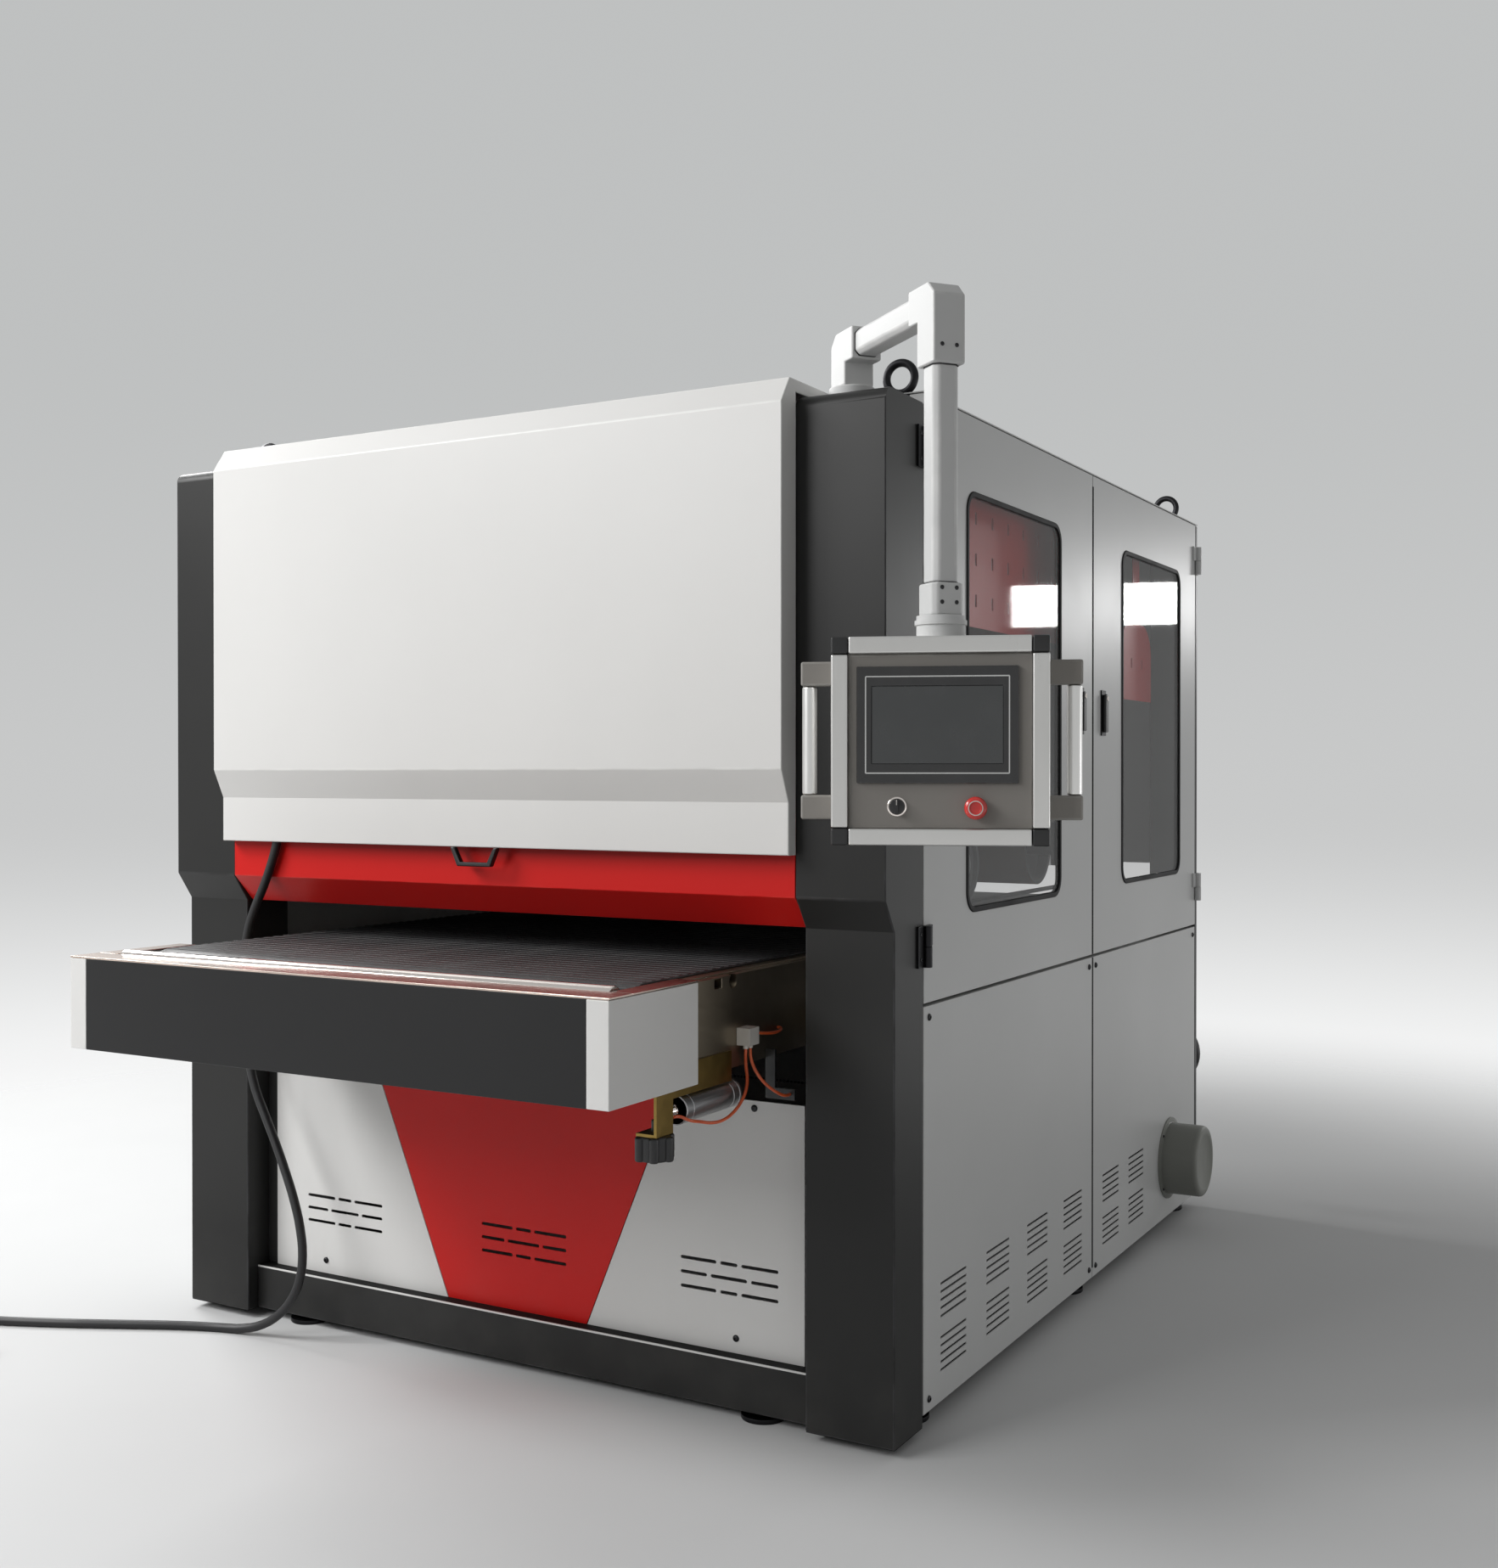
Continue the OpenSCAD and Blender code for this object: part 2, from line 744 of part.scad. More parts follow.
module drum(i) {
    roller(drum_r, drum_wall, drum_half, drum_shaft_r, -head_shaft_x, pulley_x1, head_ys[i], drum_z);
    rod_x(pulley_r, pulley_x0, pulley_x1, head_ys[i], drum_z);
}

module front_drum() {
    color([0.55, 0.56, 0.58]) machine() drum(0);
}

module rear_drum() {
    color([0.2, 0.2, 0.2]) machine() drum(1);
}

module tension_roller(i) {
    roller(tension_r, tension_wall, drum_half, tension_shaft_r, -head_shaft_x, head_shaft_x,
           head_ys[i], tension_z);
}

module front_tension_roller() {
    color([0.6, 0.61, 0.63]) machine() tension_roller(0);
}

module rear_tension_roller() {
    color([0.6, 0.61, 0.63]) machine() tension_roller(1);
}

module pressure_roller() {
    y = head_ys[0] - press_back;
    color([0.15, 0.15, 0.15]) machine() {
        rod_x(press_r, -drum_half, drum_half, y, press_z);
        rod_x(press_shaft_r, -head_shaft_x, head_shaft_x, y, press_z);
    }
}

motor_foot_half = 60;

// Main motor on its foot, and the round cover of its outboard bearing on the side panel
module main_motor() {
    color([0.45, 0.47, 0.48]) machine() {
        rod_x(motor_r, motor_x0, motor_x1, motor_y, motor_z);
        slab([motor_x0 + motor_foot_half, motor_y - 2 * motor_foot_half, rail_top + seat_gap],
             [motor_x1 - motor_foot_half, motor_y + motor_foot_half, motor_z]);
    }
    color([0.62, 0.62, 0.61]) machine() difference() {
        union() {
            rod_x(cover_r, half_w, half_w + cover_len, motor_y, motor_z);
            rod_x(cover_flange_r, half_w, half_w + cover_flange_t, motor_y, motor_z);
        }
        rod_x(cover_r - cover_wall, half_w - overrun, half_w + cover_len - cover_wall, motor_y, motor_z);
    }
}

motor_shaft_r = 16;

module motor_pulley() {
    color([0.3, 0.3, 0.31]) machine() {
        rod_x(motor_pulley_r, pulley_x0, pulley_x1, motor_y, motor_z);
        rod_x(motor_shaft_r, motor_x1 + seat_gap, pulley_x1, motor_y, motor_z);
    }
}

module belt_loop(x0, x1, p, pr, q, qr) {
    along_x(x0, x1) difference() {
        hull() {
            translate(p) circle(pr + seat_gap + vbelt_t);
            translate(q) circle(qr + seat_gap + vbelt_t);
        }
        hull() {
            translate(p) circle(pr + seat_gap);
            translate(q) circle(qr + seat_gap);
        }
    }
}

// One belt from the motor to the rear drum, one on to the front drum
module drive_belts() {
    half = (pulley_x0 + pulley_x1) / 2;
    rear = [head_ys[1], drum_z];
    color([0.08, 0.08, 0.08]) machine() {
        belt_loop(pulley_x0 + lap, half - lap, rear, pulley_r, [motor_y, motor_z], motor_pulley_r);
        belt_loop(half + lap, pulley_x1 - lap, rear, pulley_r, [head_ys[0], drum_z], pulley_r);
    }
}

// Table lift

chain_w = 7;
gear_half = 38;
gear_drop = 42;

// Roller chain round the four screws, and the bevel gearbox behind the handwheel
module lift_drive() {
    in_r = sprocket_r + seat_gap;
    low = sprocket_z + seat_gap;
    color([0.3, 0.3, 0.3]) machine() {
        translate([0, 0, low]) linear_extrude(sprocket_t - 2 * seat_gap) difference() {
            chain_outline(in_r + chain_w);
            chain_outline(in_r);
        }
        difference() {
            slab([wheel_x - gear_half, back_y - rail_w, wheel_z - gear_drop],
                 [rail_in - seat_gap, back_y - seat_gap, wheel_z + gear_drop]);
            rod_y(wheel_shaft_r + run_gap, back_y - rail_w - overrun, back_y + overrun, wheel_x, wheel_z);
        }
    }
}

module chain_outline(r) {
    span = [2 * screw_x, screw_ys[1] - screw_ys[0]];
    translate([-screw_x - r, screw_ys[0]]) square([span[0] + 2 * r, span[1]]);
    translate([-screw_x, screw_ys[0] - r]) square([span[0], span[1] + 2 * r]);
    for (x = [-screw_x, screw_x], y = screw_ys) translate([x, y]) circle(r);
}

screw_collar_r = 30;
screw_collar_h = 20;

module lift_screw(side, i) {
    color([0.5, 0.5, 0.52]) machine() {
        rod_z(screw_r, rail_top + seat_gap, screw_top, side * screw_x, screw_ys[i]);
        rod_z(screw_collar_r, rail_top + seat_gap, rail_top + screw_collar_h, side * screw_x, screw_ys[i]);
        rod_z(sprocket_r, sprocket_z, sprocket_z + sprocket_t, side * screw_x, screw_ys[i]);
    }
}

module front_left_lift_screw() {
    lift_screw(-1, 0);
}

module front_right_lift_screw() {
    lift_screw(1, 0);
}

module rear_left_lift_screw() {
    lift_screw(-1, 1);
}

module rear_right_lift_screw() {
    lift_screw(1, 1);
}

wheel_shaft_r = 12;
wheel_rim_r = 13;
wheel_hub_r = 28;
wheel_spokes = 3;

// Black handwheel on the back for fine height setting
module lift_handwheel() {
    y1 = body_d + wheel_reach + wheel_t;
    rim_y = y1 - wheel_rim_r;
    color([0.06, 0.06, 0.06]) machine() {
        rod_y(wheel_shaft_r, back_y - rail_w, y1, wheel_x, wheel_z);
        rod_y(wheel_hub_r, y1 - wheel_t, y1, wheel_x, wheel_z);
        translate([wheel_x, rim_y, wheel_z]) rotate([90, 0, 0])
            rotate_extrude() translate([wheel_r - wheel_rim_r, 0]) circle(wheel_rim_r);
        translate([wheel_x, rim_y, wheel_z]) for (i = [0:wheel_spokes - 1])
            rotate([0, i * 360 / wheel_spokes, 0]) rod_z(wheel_shaft_r, 0, wheel_r - wheel_rim_r, 0, 0);
    }
}

// Conveyor table

slot_inset = 378;
slot_y = table_front + slot_inset;
slot_len = 26;
slot_h = 18;
sight_inset = 446;
sight_y = table_front + sight_inset;
sight_r = 14;
sight_drop = 20;
sight_z = table_z - sight_drop;

module table_side_plate() {
    x0 = plate_x;
    x1 = plate_x + plate_t;
    difference() {
        union() {
            slab([x0, table_front + cap_wall + seat_gap, plate_z0], [x1, plate_y1, plate_z1]);
            for (y = screw_ys)
                slab([x0, y - nut_half, nut_z0], [screw_x + nut_half, y + nut_half, nut_z0 + nut_h]);
        }
        for (y = [roller_front_y, roller_rear_y])
            rod_x(shaft_r + run_gap, x0 - overrun, x1 + overrun, y, roller_z);
        rod_x(infeed_shaft_r + run_gap, x0 - overrun, x1 + overrun, infeed_y, infeed_z);
        for (y = screw_ys)
            rod_z(screw_r + run_gap, nut_z0 - overrun, nut_z0 + nut_h + overrun, screw_x, y);
        slab([x0 - overrun, slot_y, sight_z - slot_h / 2],
             [x1 + overrun, slot_y + slot_len, sight_z + slot_h / 2]);
        rod_x(sight_r, x0 - overrun, x1 + overrun, sight_y, sight_z);
    }
}

// Steel bed under the belt, its side plates with the lift nuts, and the bright trim round the infeed
module table_bed() {
    top = table_z - belt_t - seat_gap;
    trim_back = infeed_y - infeed_r - overrun;
    bed_front = table_front + cap_len + seat_gap;
    color([0.62, 0.52, 0.44]) machine() {
        both_sides() table_side_plate();
        slab([-plate_x + seat_gap, bed_front, top - bed_t],
             [plate_x - seat_gap, roller_rear_y - loop_r, top]);
        slab([-table_half, table_front, table_z - trim_t], [table_half, trim_back, table_z]);
        both_sides() slab([cap_x, trim_back + seat_gap, table_z - trim_t],
                          [table_half, table_front + cap_len, table_z]);
    }
}

module loop_outline(r) {
    translate([roller_front_y, roller_z - r]) square([roller_rear_y - roller_front_y, 2 * r]);
    for (y = [roller_front_y, roller_rear_y]) translate([y, roller_z]) circle(r);
}

module conveyor_belt() {
    color([0.1, 0.1, 0.11]) machine() along_x(-belt_half, belt_half) difference() {
        loop_outline(loop_r);
        loop_outline(roller_r + seat_gap);
    }
}

module conveyor_roller(y, left_x) {
    right_x = plate_x + plate_t + seat_gap;
    roller(roller_r, tension_wall, belt_half, shaft_r, -left_x, right_x, y, roller_z);
}

module conveyor_drive_roller() {
    color([0.55, 0.55, 0.57]) machine() conveyor_roller(roller_rear_y, plate_x + plate_t + gear_w / 2);
}

module conveyor_tension_roller() {
    color([0.55, 0.55, 0.57]) machine() conveyor_roller(roller_front_y, plate_x + plate_t + seat_gap);
}

module infeed_roller() {
    half = plate_x - plate_t;
    color([0.85, 0.8, 0.77]) machine() {
        rod_x(infeed_r, -half, half, infeed_y, infeed_z);
        rod_x(infeed_shaft_r, -plate_x - plate_t, plate_x + plate_t, infeed_y, infeed_z);
    }
}

module apron_panel() {
    color([0.15, 0.15, 0.15]) machine()
        slab([-cap_x + lap, table_front, table_z - apron_h],
             [cap_x - lap, table_front + apron_t, table_z - trim_t - seat_gap]);
}

// White folded end caps over the front ends of the side plates
module apron_end_caps() {
    z0 = table_z - apron_h;
    z1 = table_z - trim_t - seat_gap;
    y1 = table_front + cap_len;
    color([0.88, 0.87, 0.86]) machine() both_sides() difference() {
        slab([cap_x, table_front, z0], [table_half, y1, z1]);
        slab([cap_x - overrun, table_front + cap_wall, z0 + cap_wall],
             [table_half - cap_wall, y1 - cap_wall, z1 - cap_wall + seat_gap]);
        slab([cap_x - overrun, y1 - cap_wall - overrun, z0 + cap_wall],
             [plate_x + plate_t + lap, y1 + overrun, z1 + overrun]);
    }
}

gear_w = 70;
gear_box_half = 58;
feed_motor_r = 48;
feed_motor_len = 200;

module conveyor_gearmotor() {
    x0 = plate_x + plate_t + seat_gap;
    color([0.2, 0.3, 0.42]) machine() mirror([1, 0, 0]) difference() {
        union() {
            slab([x0, roller_rear_y - gear_box_half, roller_z - gear_box_half],
                 [x0 + gear_w, roller_rear_y + gear_box_half, roller_z + gear_box_half]);
            rod_y(feed_motor_r, roller_rear_y - gear_box_half - feed_motor_len, roller_rear_y - gear_box_half,
                  x0 + feed_motor_r, roller_z);
        }
        rod_x(shaft_r + run_gap, x0 - overrun, x0 + gear_w + overrun, roller_rear_y, roller_z);
    }
}

// Places under the table's right front corner, from the plate's outer face, the table's front and its top
module table_corner() {
    translate([plate_x + plate_t, table_front, table_z]) children();
}

bracket_t = 6;
bracket_front = 170;
bracket_rear = 430;
bracket_leg = 55;
bracket_low = -265;
bracket_mid = -205;
bracket_top = -148;
bracket_foot = 37;
air_r = 27;
air_front = 260;
air_rear = 455;
air_in = 13;
nose_r = 12;
nose_len = 34;
valve_front = 458;
valve_rear = 495;
valve_low = -143;
valve_high = -110;
valve_out = 29;
fitting_r = 5;
fitting_len = 7;
hose_d = 6;
clip_out = 65;
clip_front = 570;
clip_low = -261;
clip_w = 22;
knob_in = 15;

// Belt tracking lap: brass bracket, air cylinder with its nozzle, valve block, fittings and hose clip
module tracking_unit() {
    x0 = seat_gap;
    x1 = seat_gap + bracket_t;
    leg_rear = bracket_front + bracket_leg;
    under_cap = -apron_h - seat_gap;
    air_z = bracket_mid - seat_gap - air_r;
    color([0.7, 0.52, 0.16]) machine() table_corner() difference() {
        union() {
            slab([x0, cap_len + seat_gap, bracket_mid], [x1, bracket_rear, bracket_top]);
            slab([x0, bracket_front, bracket_mid], [x1, bracket_rear, under_cap]);
            slab([x0, bracket_front, bracket_low], [x1, leg_rear, under_cap]);
            slab([x0 - bracket_foot, bracket_front, bracket_low], [x1, leg_rear, bracket_low + bracket_t]);
            slab([-2 * air_in, air_front + bracket_leg, bracket_mid],
                 [x1, air_front + 2 * bracket_leg, bracket_mid + bracket_t]);
        }
        rod_z(knob_stem_r + run_gap, bracket_low - overrun, bracket_low + bracket_t + overrun, -knob_in,
              bracket_front + bracket_leg / 2);
    }
    color([0.5, 0.51, 0.52]) machine() table_corner() {
        rod_y(air_r, air_front, air_rear, -air_in, air_z);
        translate([-air_in, air_front, air_z]) rotate([90, 0, 0])
            cylinder(r1 = nose_r, r2 = nose_r / 3, h = nose_len);
    }
    color([0.85, 0.84, 0.82]) machine() table_corner() {
        slab([x0, valve_front, valve_low], [valve_out, valve_rear, valve_high]);
        for (h = hose_routes) fitting(h[0], h[1] - h[0]);
    }
    color([0.08, 0.08, 0.08]) machine() table_corner() {
        slab([x0, clip_front, clip_low], [clip_out, clip_front + bracket_t, clip_low + clip_w]);
        slab([x0, clip_front, clip_low], [clip_w, clip_front + bracket_t, clip_w - apron_h]);
    }
}

// Short fitting behind a hose's end, in line with the hose
module fitting(end, way) {
    d = way / norm(way);
    translate(end - fitting_len * d) rotate([0, acos(d[2]), atan2(d[1], d[0])])
        cylinder(r = fitting_r, h = fitting_len);
}

knob_r = 30;
knob_lobe_r = 9;
knob_lobes = 6;
knob_h = 44;
knob_stem_r = 6;
knob_stem_len = 28;

module star_knob() {
    foot = bracket_low - seat_gap - knob_h;
    color([0.05, 0.05, 0.05]) machine() table_corner()
        translate([-knob_in, bracket_front + bracket_leg / 2, foot]) {
            cylinder(r = knob_r, h = knob_h);
            for (i = [0:knob_lobes - 1]) rotate([0, 0, i * 360 / knob_lobes])
                translate([knob_r - lap, 0, 0]) cylinder(r = knob_lobe_r, h = knob_h);
            cylinder(r = knob_stem_r, h = knob_h + knob_stem_len);
        }
}

// Air hoses: valve to bracket, valve to clip, and a short one from the valve to the side plate
hose_routes = [
    [[15, 468, -150], [15, 467, -165], [19, 462, -183], [27, 452, -201], [34, 436, -219], [37, 414, -237],
     [36, 386, -253], [33, 354, -262], [28, 322, -262], [21, 290, -255], [17, 262, -248],
     [7, 244, -239], [4, 232, -238], [4, 225.3, -238]],
    [[15, 485, -150], [15, 486, -165], [18, 490, -183], [24, 497, -201], [32, 508, -218], [41, 522, -232],
     [49, 538, -243], [53, 550, -248], [55, 560, -249], [55, 569.7, -249]],
    [[15, 502, -126], [15, 514, -126], [16, 535, -129], [18, 560, -132], [18, 585, -133], [15, 605, -132],
     [9, 617, -131], [4, 621, -130], [0.3, 621.5, -130]]
];
hose_sides = 8;
hose_side_way = [0.3, 0.2, 1];

module air_hoses() {
    color([0.85, 0.2, 0.08]) machine() table_corner()
        for (h = hose_routes) tube(h, hose_d / 2, hose_sides, hose_side_way);
}

// Swept tubes

function unit_of(v) = v / norm(v);

function way(p, i) =
    unit_of(p[min(i + 1, len(p) - 1)] - p[max(i - 1, 0)]);

function ring(p, i, r, sides, side_way) =
    let (t = way(p, i), u = unit_of(cross(side_way, t)), v = cross(t, u))
    [for (k = [0:sides - 1]) p[i] + r * (cos(k * 360 / sides) * u + sin(k * 360 / sides) * v)];

// Closed tube of triangles along points; side_way is never parallel to the route
module tube(p, r, sides, side_way) {
    last = len(p) - 1;
    end = last * sides;
    polyhedron(
        points = [for (i = [0:last]) each ring(p, i, r, sides, side_way)],
        faces = concat(
            [for (i = [0:last - 1], k = [0:sides - 1]) let (a = i * sides, n = (k + 1) % sides)
                each [[a + k, a + sides + k, a + sides + n], [a + k, a + sides + n, a + n]]],
            [for (k = [1:sides - 2]) [0, k, k + 1]],
            [for (k = [1:sides - 2]) [end, end + k + 1, end + k]]
        )
    );
}

// Power cord

gland_r = 13;
gland_neck_r = 11;
gland_lock_h = 9;

module cord_gland() {
    seat = gland_top - crossbar_t;
    color([0.08, 0.08, 0.08]) machine() {
        rod_z(gland_r, gland_foot, seat, gland_x, gland_y);
        rod_z(gland_neck_r, seat, gland_top + gland_lock_h, gland_x, gland_y);
        rod_z(gland_r, gland_top, gland_top + gland_lock_h, gland_x, gland_y);
    }
}

module power_cord() {
    color([0.05, 0.05, 0.05]) machine() tube(cord_points, cord_r, cord_sides, [0, 1, 0]);
}

function coil_radius(t) =
    t < coil_loops ? coil_out_r - coil_pitch * t : coil_in_r + coil_pitch * (t - coil_loops);

function coil_height(t) =
    let (climb = min(max((t - coil_loops) * 2 + 0.5, 0), 1))
    cord_r + coil_pitch * (climb * climb * (3 - 2 * climb));

function coil_point(t) =
    let (a = coil_turn - 90 + 360 * t)
    [coil_x + coil_radius(t) * cos(a), coil_y + coil_radius(t) * sin(a), coil_height(t)];

coil_turns = [for (i = [0:coil_count]) coil_point(i / coil_rings)];
coil_end_turn = coil_turn + 360 * coil_count / coil_rings;
coil_end_way = [cos(coil_end_turn), sin(coil_end_turn), 0];
coil_tail_shares = [0.35, 0.7, 1];
coil_tail = [for (s = coil_tail_shares) coil_turns[coil_count] + s * coil_tail_len * coil_end_way];
coil_points = concat([coil_start, coil_start + cord_r * coil_start_way], coil_turns, coil_tail);

// Least gap between turns that are not neighbours along the cord
coil_gap = min([for (i = [0:coil_count], j = [i + coil_rings / 2:1:coil_count])
    norm(coil_turns[i] - coil_turns[j])]) - cord_d;
echo(coil_gap = coil_gap);

module cord_coil() {
    color([0.05, 0.05, 0.05]) machine() tube(coil_points, cord_r, coil_sides, [0, 0, 1]);
}

plug_neck_r = 15;
plug_neck_len = 26;
plug_body_r = 27;
plug_body_len = 48;
plug_collar_r = 31;
plug_collar_len = 46;
plug_wall = 4;
plug_pin_r = 3;
plug_pin_at = 15;

// Round five-pin supply plug
module cord_plug() {
    end = coil_points[len(coil_points) - 1];
    color([0.7, 0.1, 0.08]) machine() translate(end) rotate([0, 90, coil_end_turn]) {
        cylinder(r = plug_neck_r, h = plug_neck_len);
        translate([0, 0, plug_neck_len]) cylinder(r = plug_body_r, h = plug_body_len);
        translate([0, 0, plug_neck_len + plug_body_len]) difference() {
            cylinder(r = plug_collar_r, h = plug_collar_len);
            translate([0, 0, plug_wall]) cylinder(r = plug_collar_r - plug_wall, h = plug_collar_len);
        }
        for (a = [0:72:288])
            translate([plug_pin_at * cos(a), plug_pin_at * sin(a), plug_neck_len + plug_body_len])
                cylinder(r = plug_pin_r, h = plug_collar_len - plug_wall);
    }
}

// Pendant arm and control box

module arm_frame() {
    translate([arm_x, arm_y, 0]) rotate([0, 0, arm_turn]) children();
}

module box_frame() {
    translate([drop_x, drop_y, 0]) rotate([0, 0, box_turn]) children();
}

arm_pin_r = 20;
arm_pin_len = 20;

module arm_base() {
    color([0.86, 0.86, 0.85]) machine() translate([arm_x, arm_y, column_h]) difference() {
        cylinder(r = arm_base_r, h = arm_base_h);
        translate([0, 0, arm_base_h - arm_pin_len - seat_gap])
            cylinder(r = arm_pin_r + run_gap, h = arm_pin_len + overrun);
    }
}

// Square outline with cut corners
module cut_square(side, cut) {
    h = side / 2;
    c = h - cut;
    polygon([[h, -c], [h, c], [c, h], [-c, h], [-h, c], [-h, -c], [-c, -h], [c, -h]]);
}

elbow_cut = 22;
tube_cut = 9;
elbow_reach = 64;
elbow_drop = 110;
seam = 0.6;

// Arm: rear elbow on its pivot pin, level tube, front elbow, drop tube and lower sleeve
module pendant_arm() {
    h = elbow_side / 2;
    foot = column_h + arm_base_h + seat_gap;
    drop_top = arm_z - elbow_drop;
    color([0.88, 0.88, 0.87]) machine() {
        arm_frame() {
            along_y(-h, h) polygon([[-h, foot], [h, foot], [h, arm_z - h], [elbow_reach, arm_z - h],
                [elbow_reach, arm_z + h], [elbow_cut - h, arm_z + h], [-h, arm_z + h - elbow_cut]]);
            rod_z(arm_pin_r, foot - arm_pin_len, foot + lap, 0, 0);
            translate([elbow_reach + seam, 0, arm_z]) rotate([90, 0, 90])
                linear_extrude(arm_len - 2 * elbow_reach - 2 * seam) cut_square(arm_tube, tube_cut);
            translate([arm_len, 0, 0]) along_y(-h, h) polygon([[-h, drop_top], [h, drop_top],
                [h, arm_z + h - elbow_cut], [h - elbow_cut, arm_z + h], [-elbow_reach, arm_z + h],
                [-elbow_reach, arm_z - h], [-h, arm_z - h]]);
        }
        translate([drop_x, drop_y, 0]) rotate([0, 0, arm_turn]) {
            translate([0, 0, sleeve_z0 + sleeve_h + seam])
                linear_extrude(drop_top - sleeve_z0 - sleeve_h - 2 * seam) cut_square(arm_tube, tube_cut);
            translate([0, 0, sleeve_z0 + seat_gap])
                linear_extrude(sleeve_h - seat_gap) cut_square(elbow_side, tube_cut);
            rod_z(arm_pin_r, sleeve_z0 - arm_pin_len, sleeve_z0 + lap, 0, 0);
        }
    }
}

coupling_r = 42;
coupling_ring_r = 45;
coupling_ring_h = 8;
plate_inset = 8;
face_t = 3;
tub_wall = 2;

// Control box: aluminium frame bars, black corner caps, face plate, rear tub and the swivel coupling
module pendant_box() {
    hw = box_w / 2;
    hd = box_d / 2;
    in_x = hw - bar_w;
    z0 = box_z + bar_w;
    z1 = box_top - bar_w;
    face_y = plate_inset - hd;
    color([0.75, 0.75, 0.75]) machine() box_frame() {
        for (zs = [[box_z, z0], [z1, box_top]])
            slab([-in_x + seam, -hd, zs[0]], [in_x - seam, hd, zs[1]]);
        for (xs = [[-hw, -in_x], [in_x, hw]])
            slab([xs[0], -hd, z0 + seam], [xs[1], hd, z1 - seam]);
        difference() {
            slab([-in_x + seat_gap, face_y, z0 + seat_gap],
                 [in_x - seat_gap, face_y + face_t, z1 - seat_gap]);
            rod_y(estop_neck_r + run_gap, face_y - overrun, face_y + face_t + overrun, estop_x,
                  box_z + estop_z);
        }
        difference() {
            slab([-in_x + seat_gap, face_y + face_t + seat_gap, z0 + seat_gap],
                 [in_x - seat_gap, hd - seat_gap, z1 - seat_gap]);
            slab([-in_x + tub_wall, face_y, z0 + tub_wall], [in_x - tub_wall, hd - tub_wall, z1 - tub_wall]);
        }
        difference() {
            union() {
                rod_z(coupling_r, box_top, sleeve_z0, 0, 0);
                rod_z(coupling_ring_r, sleeve_z0 - coupling_ring_h * 2, sleeve_z0 - coupling_ring_h, 0, 0);
            }
            rod_z(arm_pin_r + run_gap, sleeve_z0 - arm_pin_len - seat_gap, sleeve_z0 + overrun, 0, 0);
        }
    }
    color([0.06, 0.06, 0.06]) machine() box_frame()
        for (xs = [[-hw, -in_x], [in_x, hw]], zs = [[box_z, z0], [z1, box_top]])
            slab([xs[0], -hd, zs[0]], [xs[1], hd, zs[1]]);
}

bezel_w = 273;
bezel_h = 198;
bezel_t = 6;
bezel_x = -4;
bezel_drop = 150;
display_w = 222;
display_h = 132;
display_t = 2;

// Operator panel: a black bezel with the display glass let into it
module pendant_screen() {
    y1 = plate_inset - box_d / 2;
    z = box_top - bezel_drop;
    color([0.04, 0.04, 0.04]) machine() box_frame() difference() {
        slab([bezel_x - bezel_w / 2, y1 - bezel_t, z - bezel_h / 2],
             [bezel_x + bezel_w / 2, y1, z + bezel_h / 2]);
        slab([bezel_x - display_w / 2, y1 - bezel_t - overrun, z - display_h / 2],
             [bezel_x + display_w / 2, y1 - bezel_t + display_t, z + display_h / 2]);
    }
    color([0.18, 0.2, 0.2]) machine() box_frame()
        slab([bezel_x - display_w / 2 + seat_gap, y1 - bezel_t + lap, z - display_h / 2 + seat_gap],
             [bezel_x + display_w / 2 - seat_gap, y1 - bezel_t + display_t - seat_gap,
z + display_h / 2 - seat_gap]);
}

grip_r = 13;
handle_d = 34;
handle_h = 42;
handle_low = 43;
handle_high = 274;

// Two side handles: cast brackets with a round grip between them
module pendant_handles() {
    hw = box_w / 2;
    y0 = -handle_d / 2;
    color([0.55, 0.54, 0.52]) machine() box_frame() both_sides() {
        for (z = [handle_low, handle_high])
            slab([hw + seat_gap, y0, box_z + z], [grip_out, -y0, box_z + z + handle_h]);
        rod_z(grip_r, box_z + handle_low + handle_h + seat_gap, box_z + handle_high - seat_gap,
              grip_out - grip_r - lap, 0);
    }
}

estop_x = 61;
estop_z = 64;
estop_r = 19.5;
estop_h = 14;
estop_neck_r = 10;
estop_travel = 6;
selector_x = -72;
selector_z = 66;
selector_r = 14;
selector_h = 12;
selector_bar = 7;

module estop_button() {
    face_y = plate_inset - box_d / 2;
    cap_y = face_y - estop_travel;
    color([0.75, 0.06, 0.05]) machine() box_frame() {
        rod_y(estop_neck_r, cap_y, face_y + 2 * face_t, estop_x, box_z + estop_z);
        rod_y(estop_r, cap_y - estop_h, cap_y, estop_x, box_z + estop_z);
    }
}

module selector_switch() {
    y1 = plate_inset - box_d / 2 - seat_gap;
    x = selector_x;
    z = box_z + selector_z;
    color([0.06, 0.06, 0.06]) machine() box_frame() {
        rod_y(selector_r, y1 - selector_h / 2, y1, x, z);
        slab([x - selector_bar / 2, y1 - selector_h, z - selector_r + lap],
             [x + selector_bar / 2, y1 - selector_h / 2 + lap, z + selector_r - lap]);
    }
}

// Doors

hinge_r = 9;
hinge_pin_r = 4;
hinge_h = 40;
hinge_leaf = 33;
hinge_leaf_t = 5;
hinge_x = half_w + hinge_r;
hinge_rise = 111;
hinge_drop = 87;
hinge_zs = [door_z0 + hinge_rise, column_h - hinge_drop];
hinge_ys = [tray_y0 - door_gap / 2, tray_y1 + door_gap / 2];
hood_hinge_back = 44;
hood_hinge_y = column_d + hood_hinge_back;
hood_hinge_rise = 14;
hood_hinge_z = roof_top + hood_hinge_rise;
hood_hinge_x = 500;
hood_hinge_xs = [-hood_hinge_x, hood_hinge_x];
hood_pin_r = 5;
hood_knuckle_r = 10;
hood_knuckle_half = 15;
hood_ear = 12;

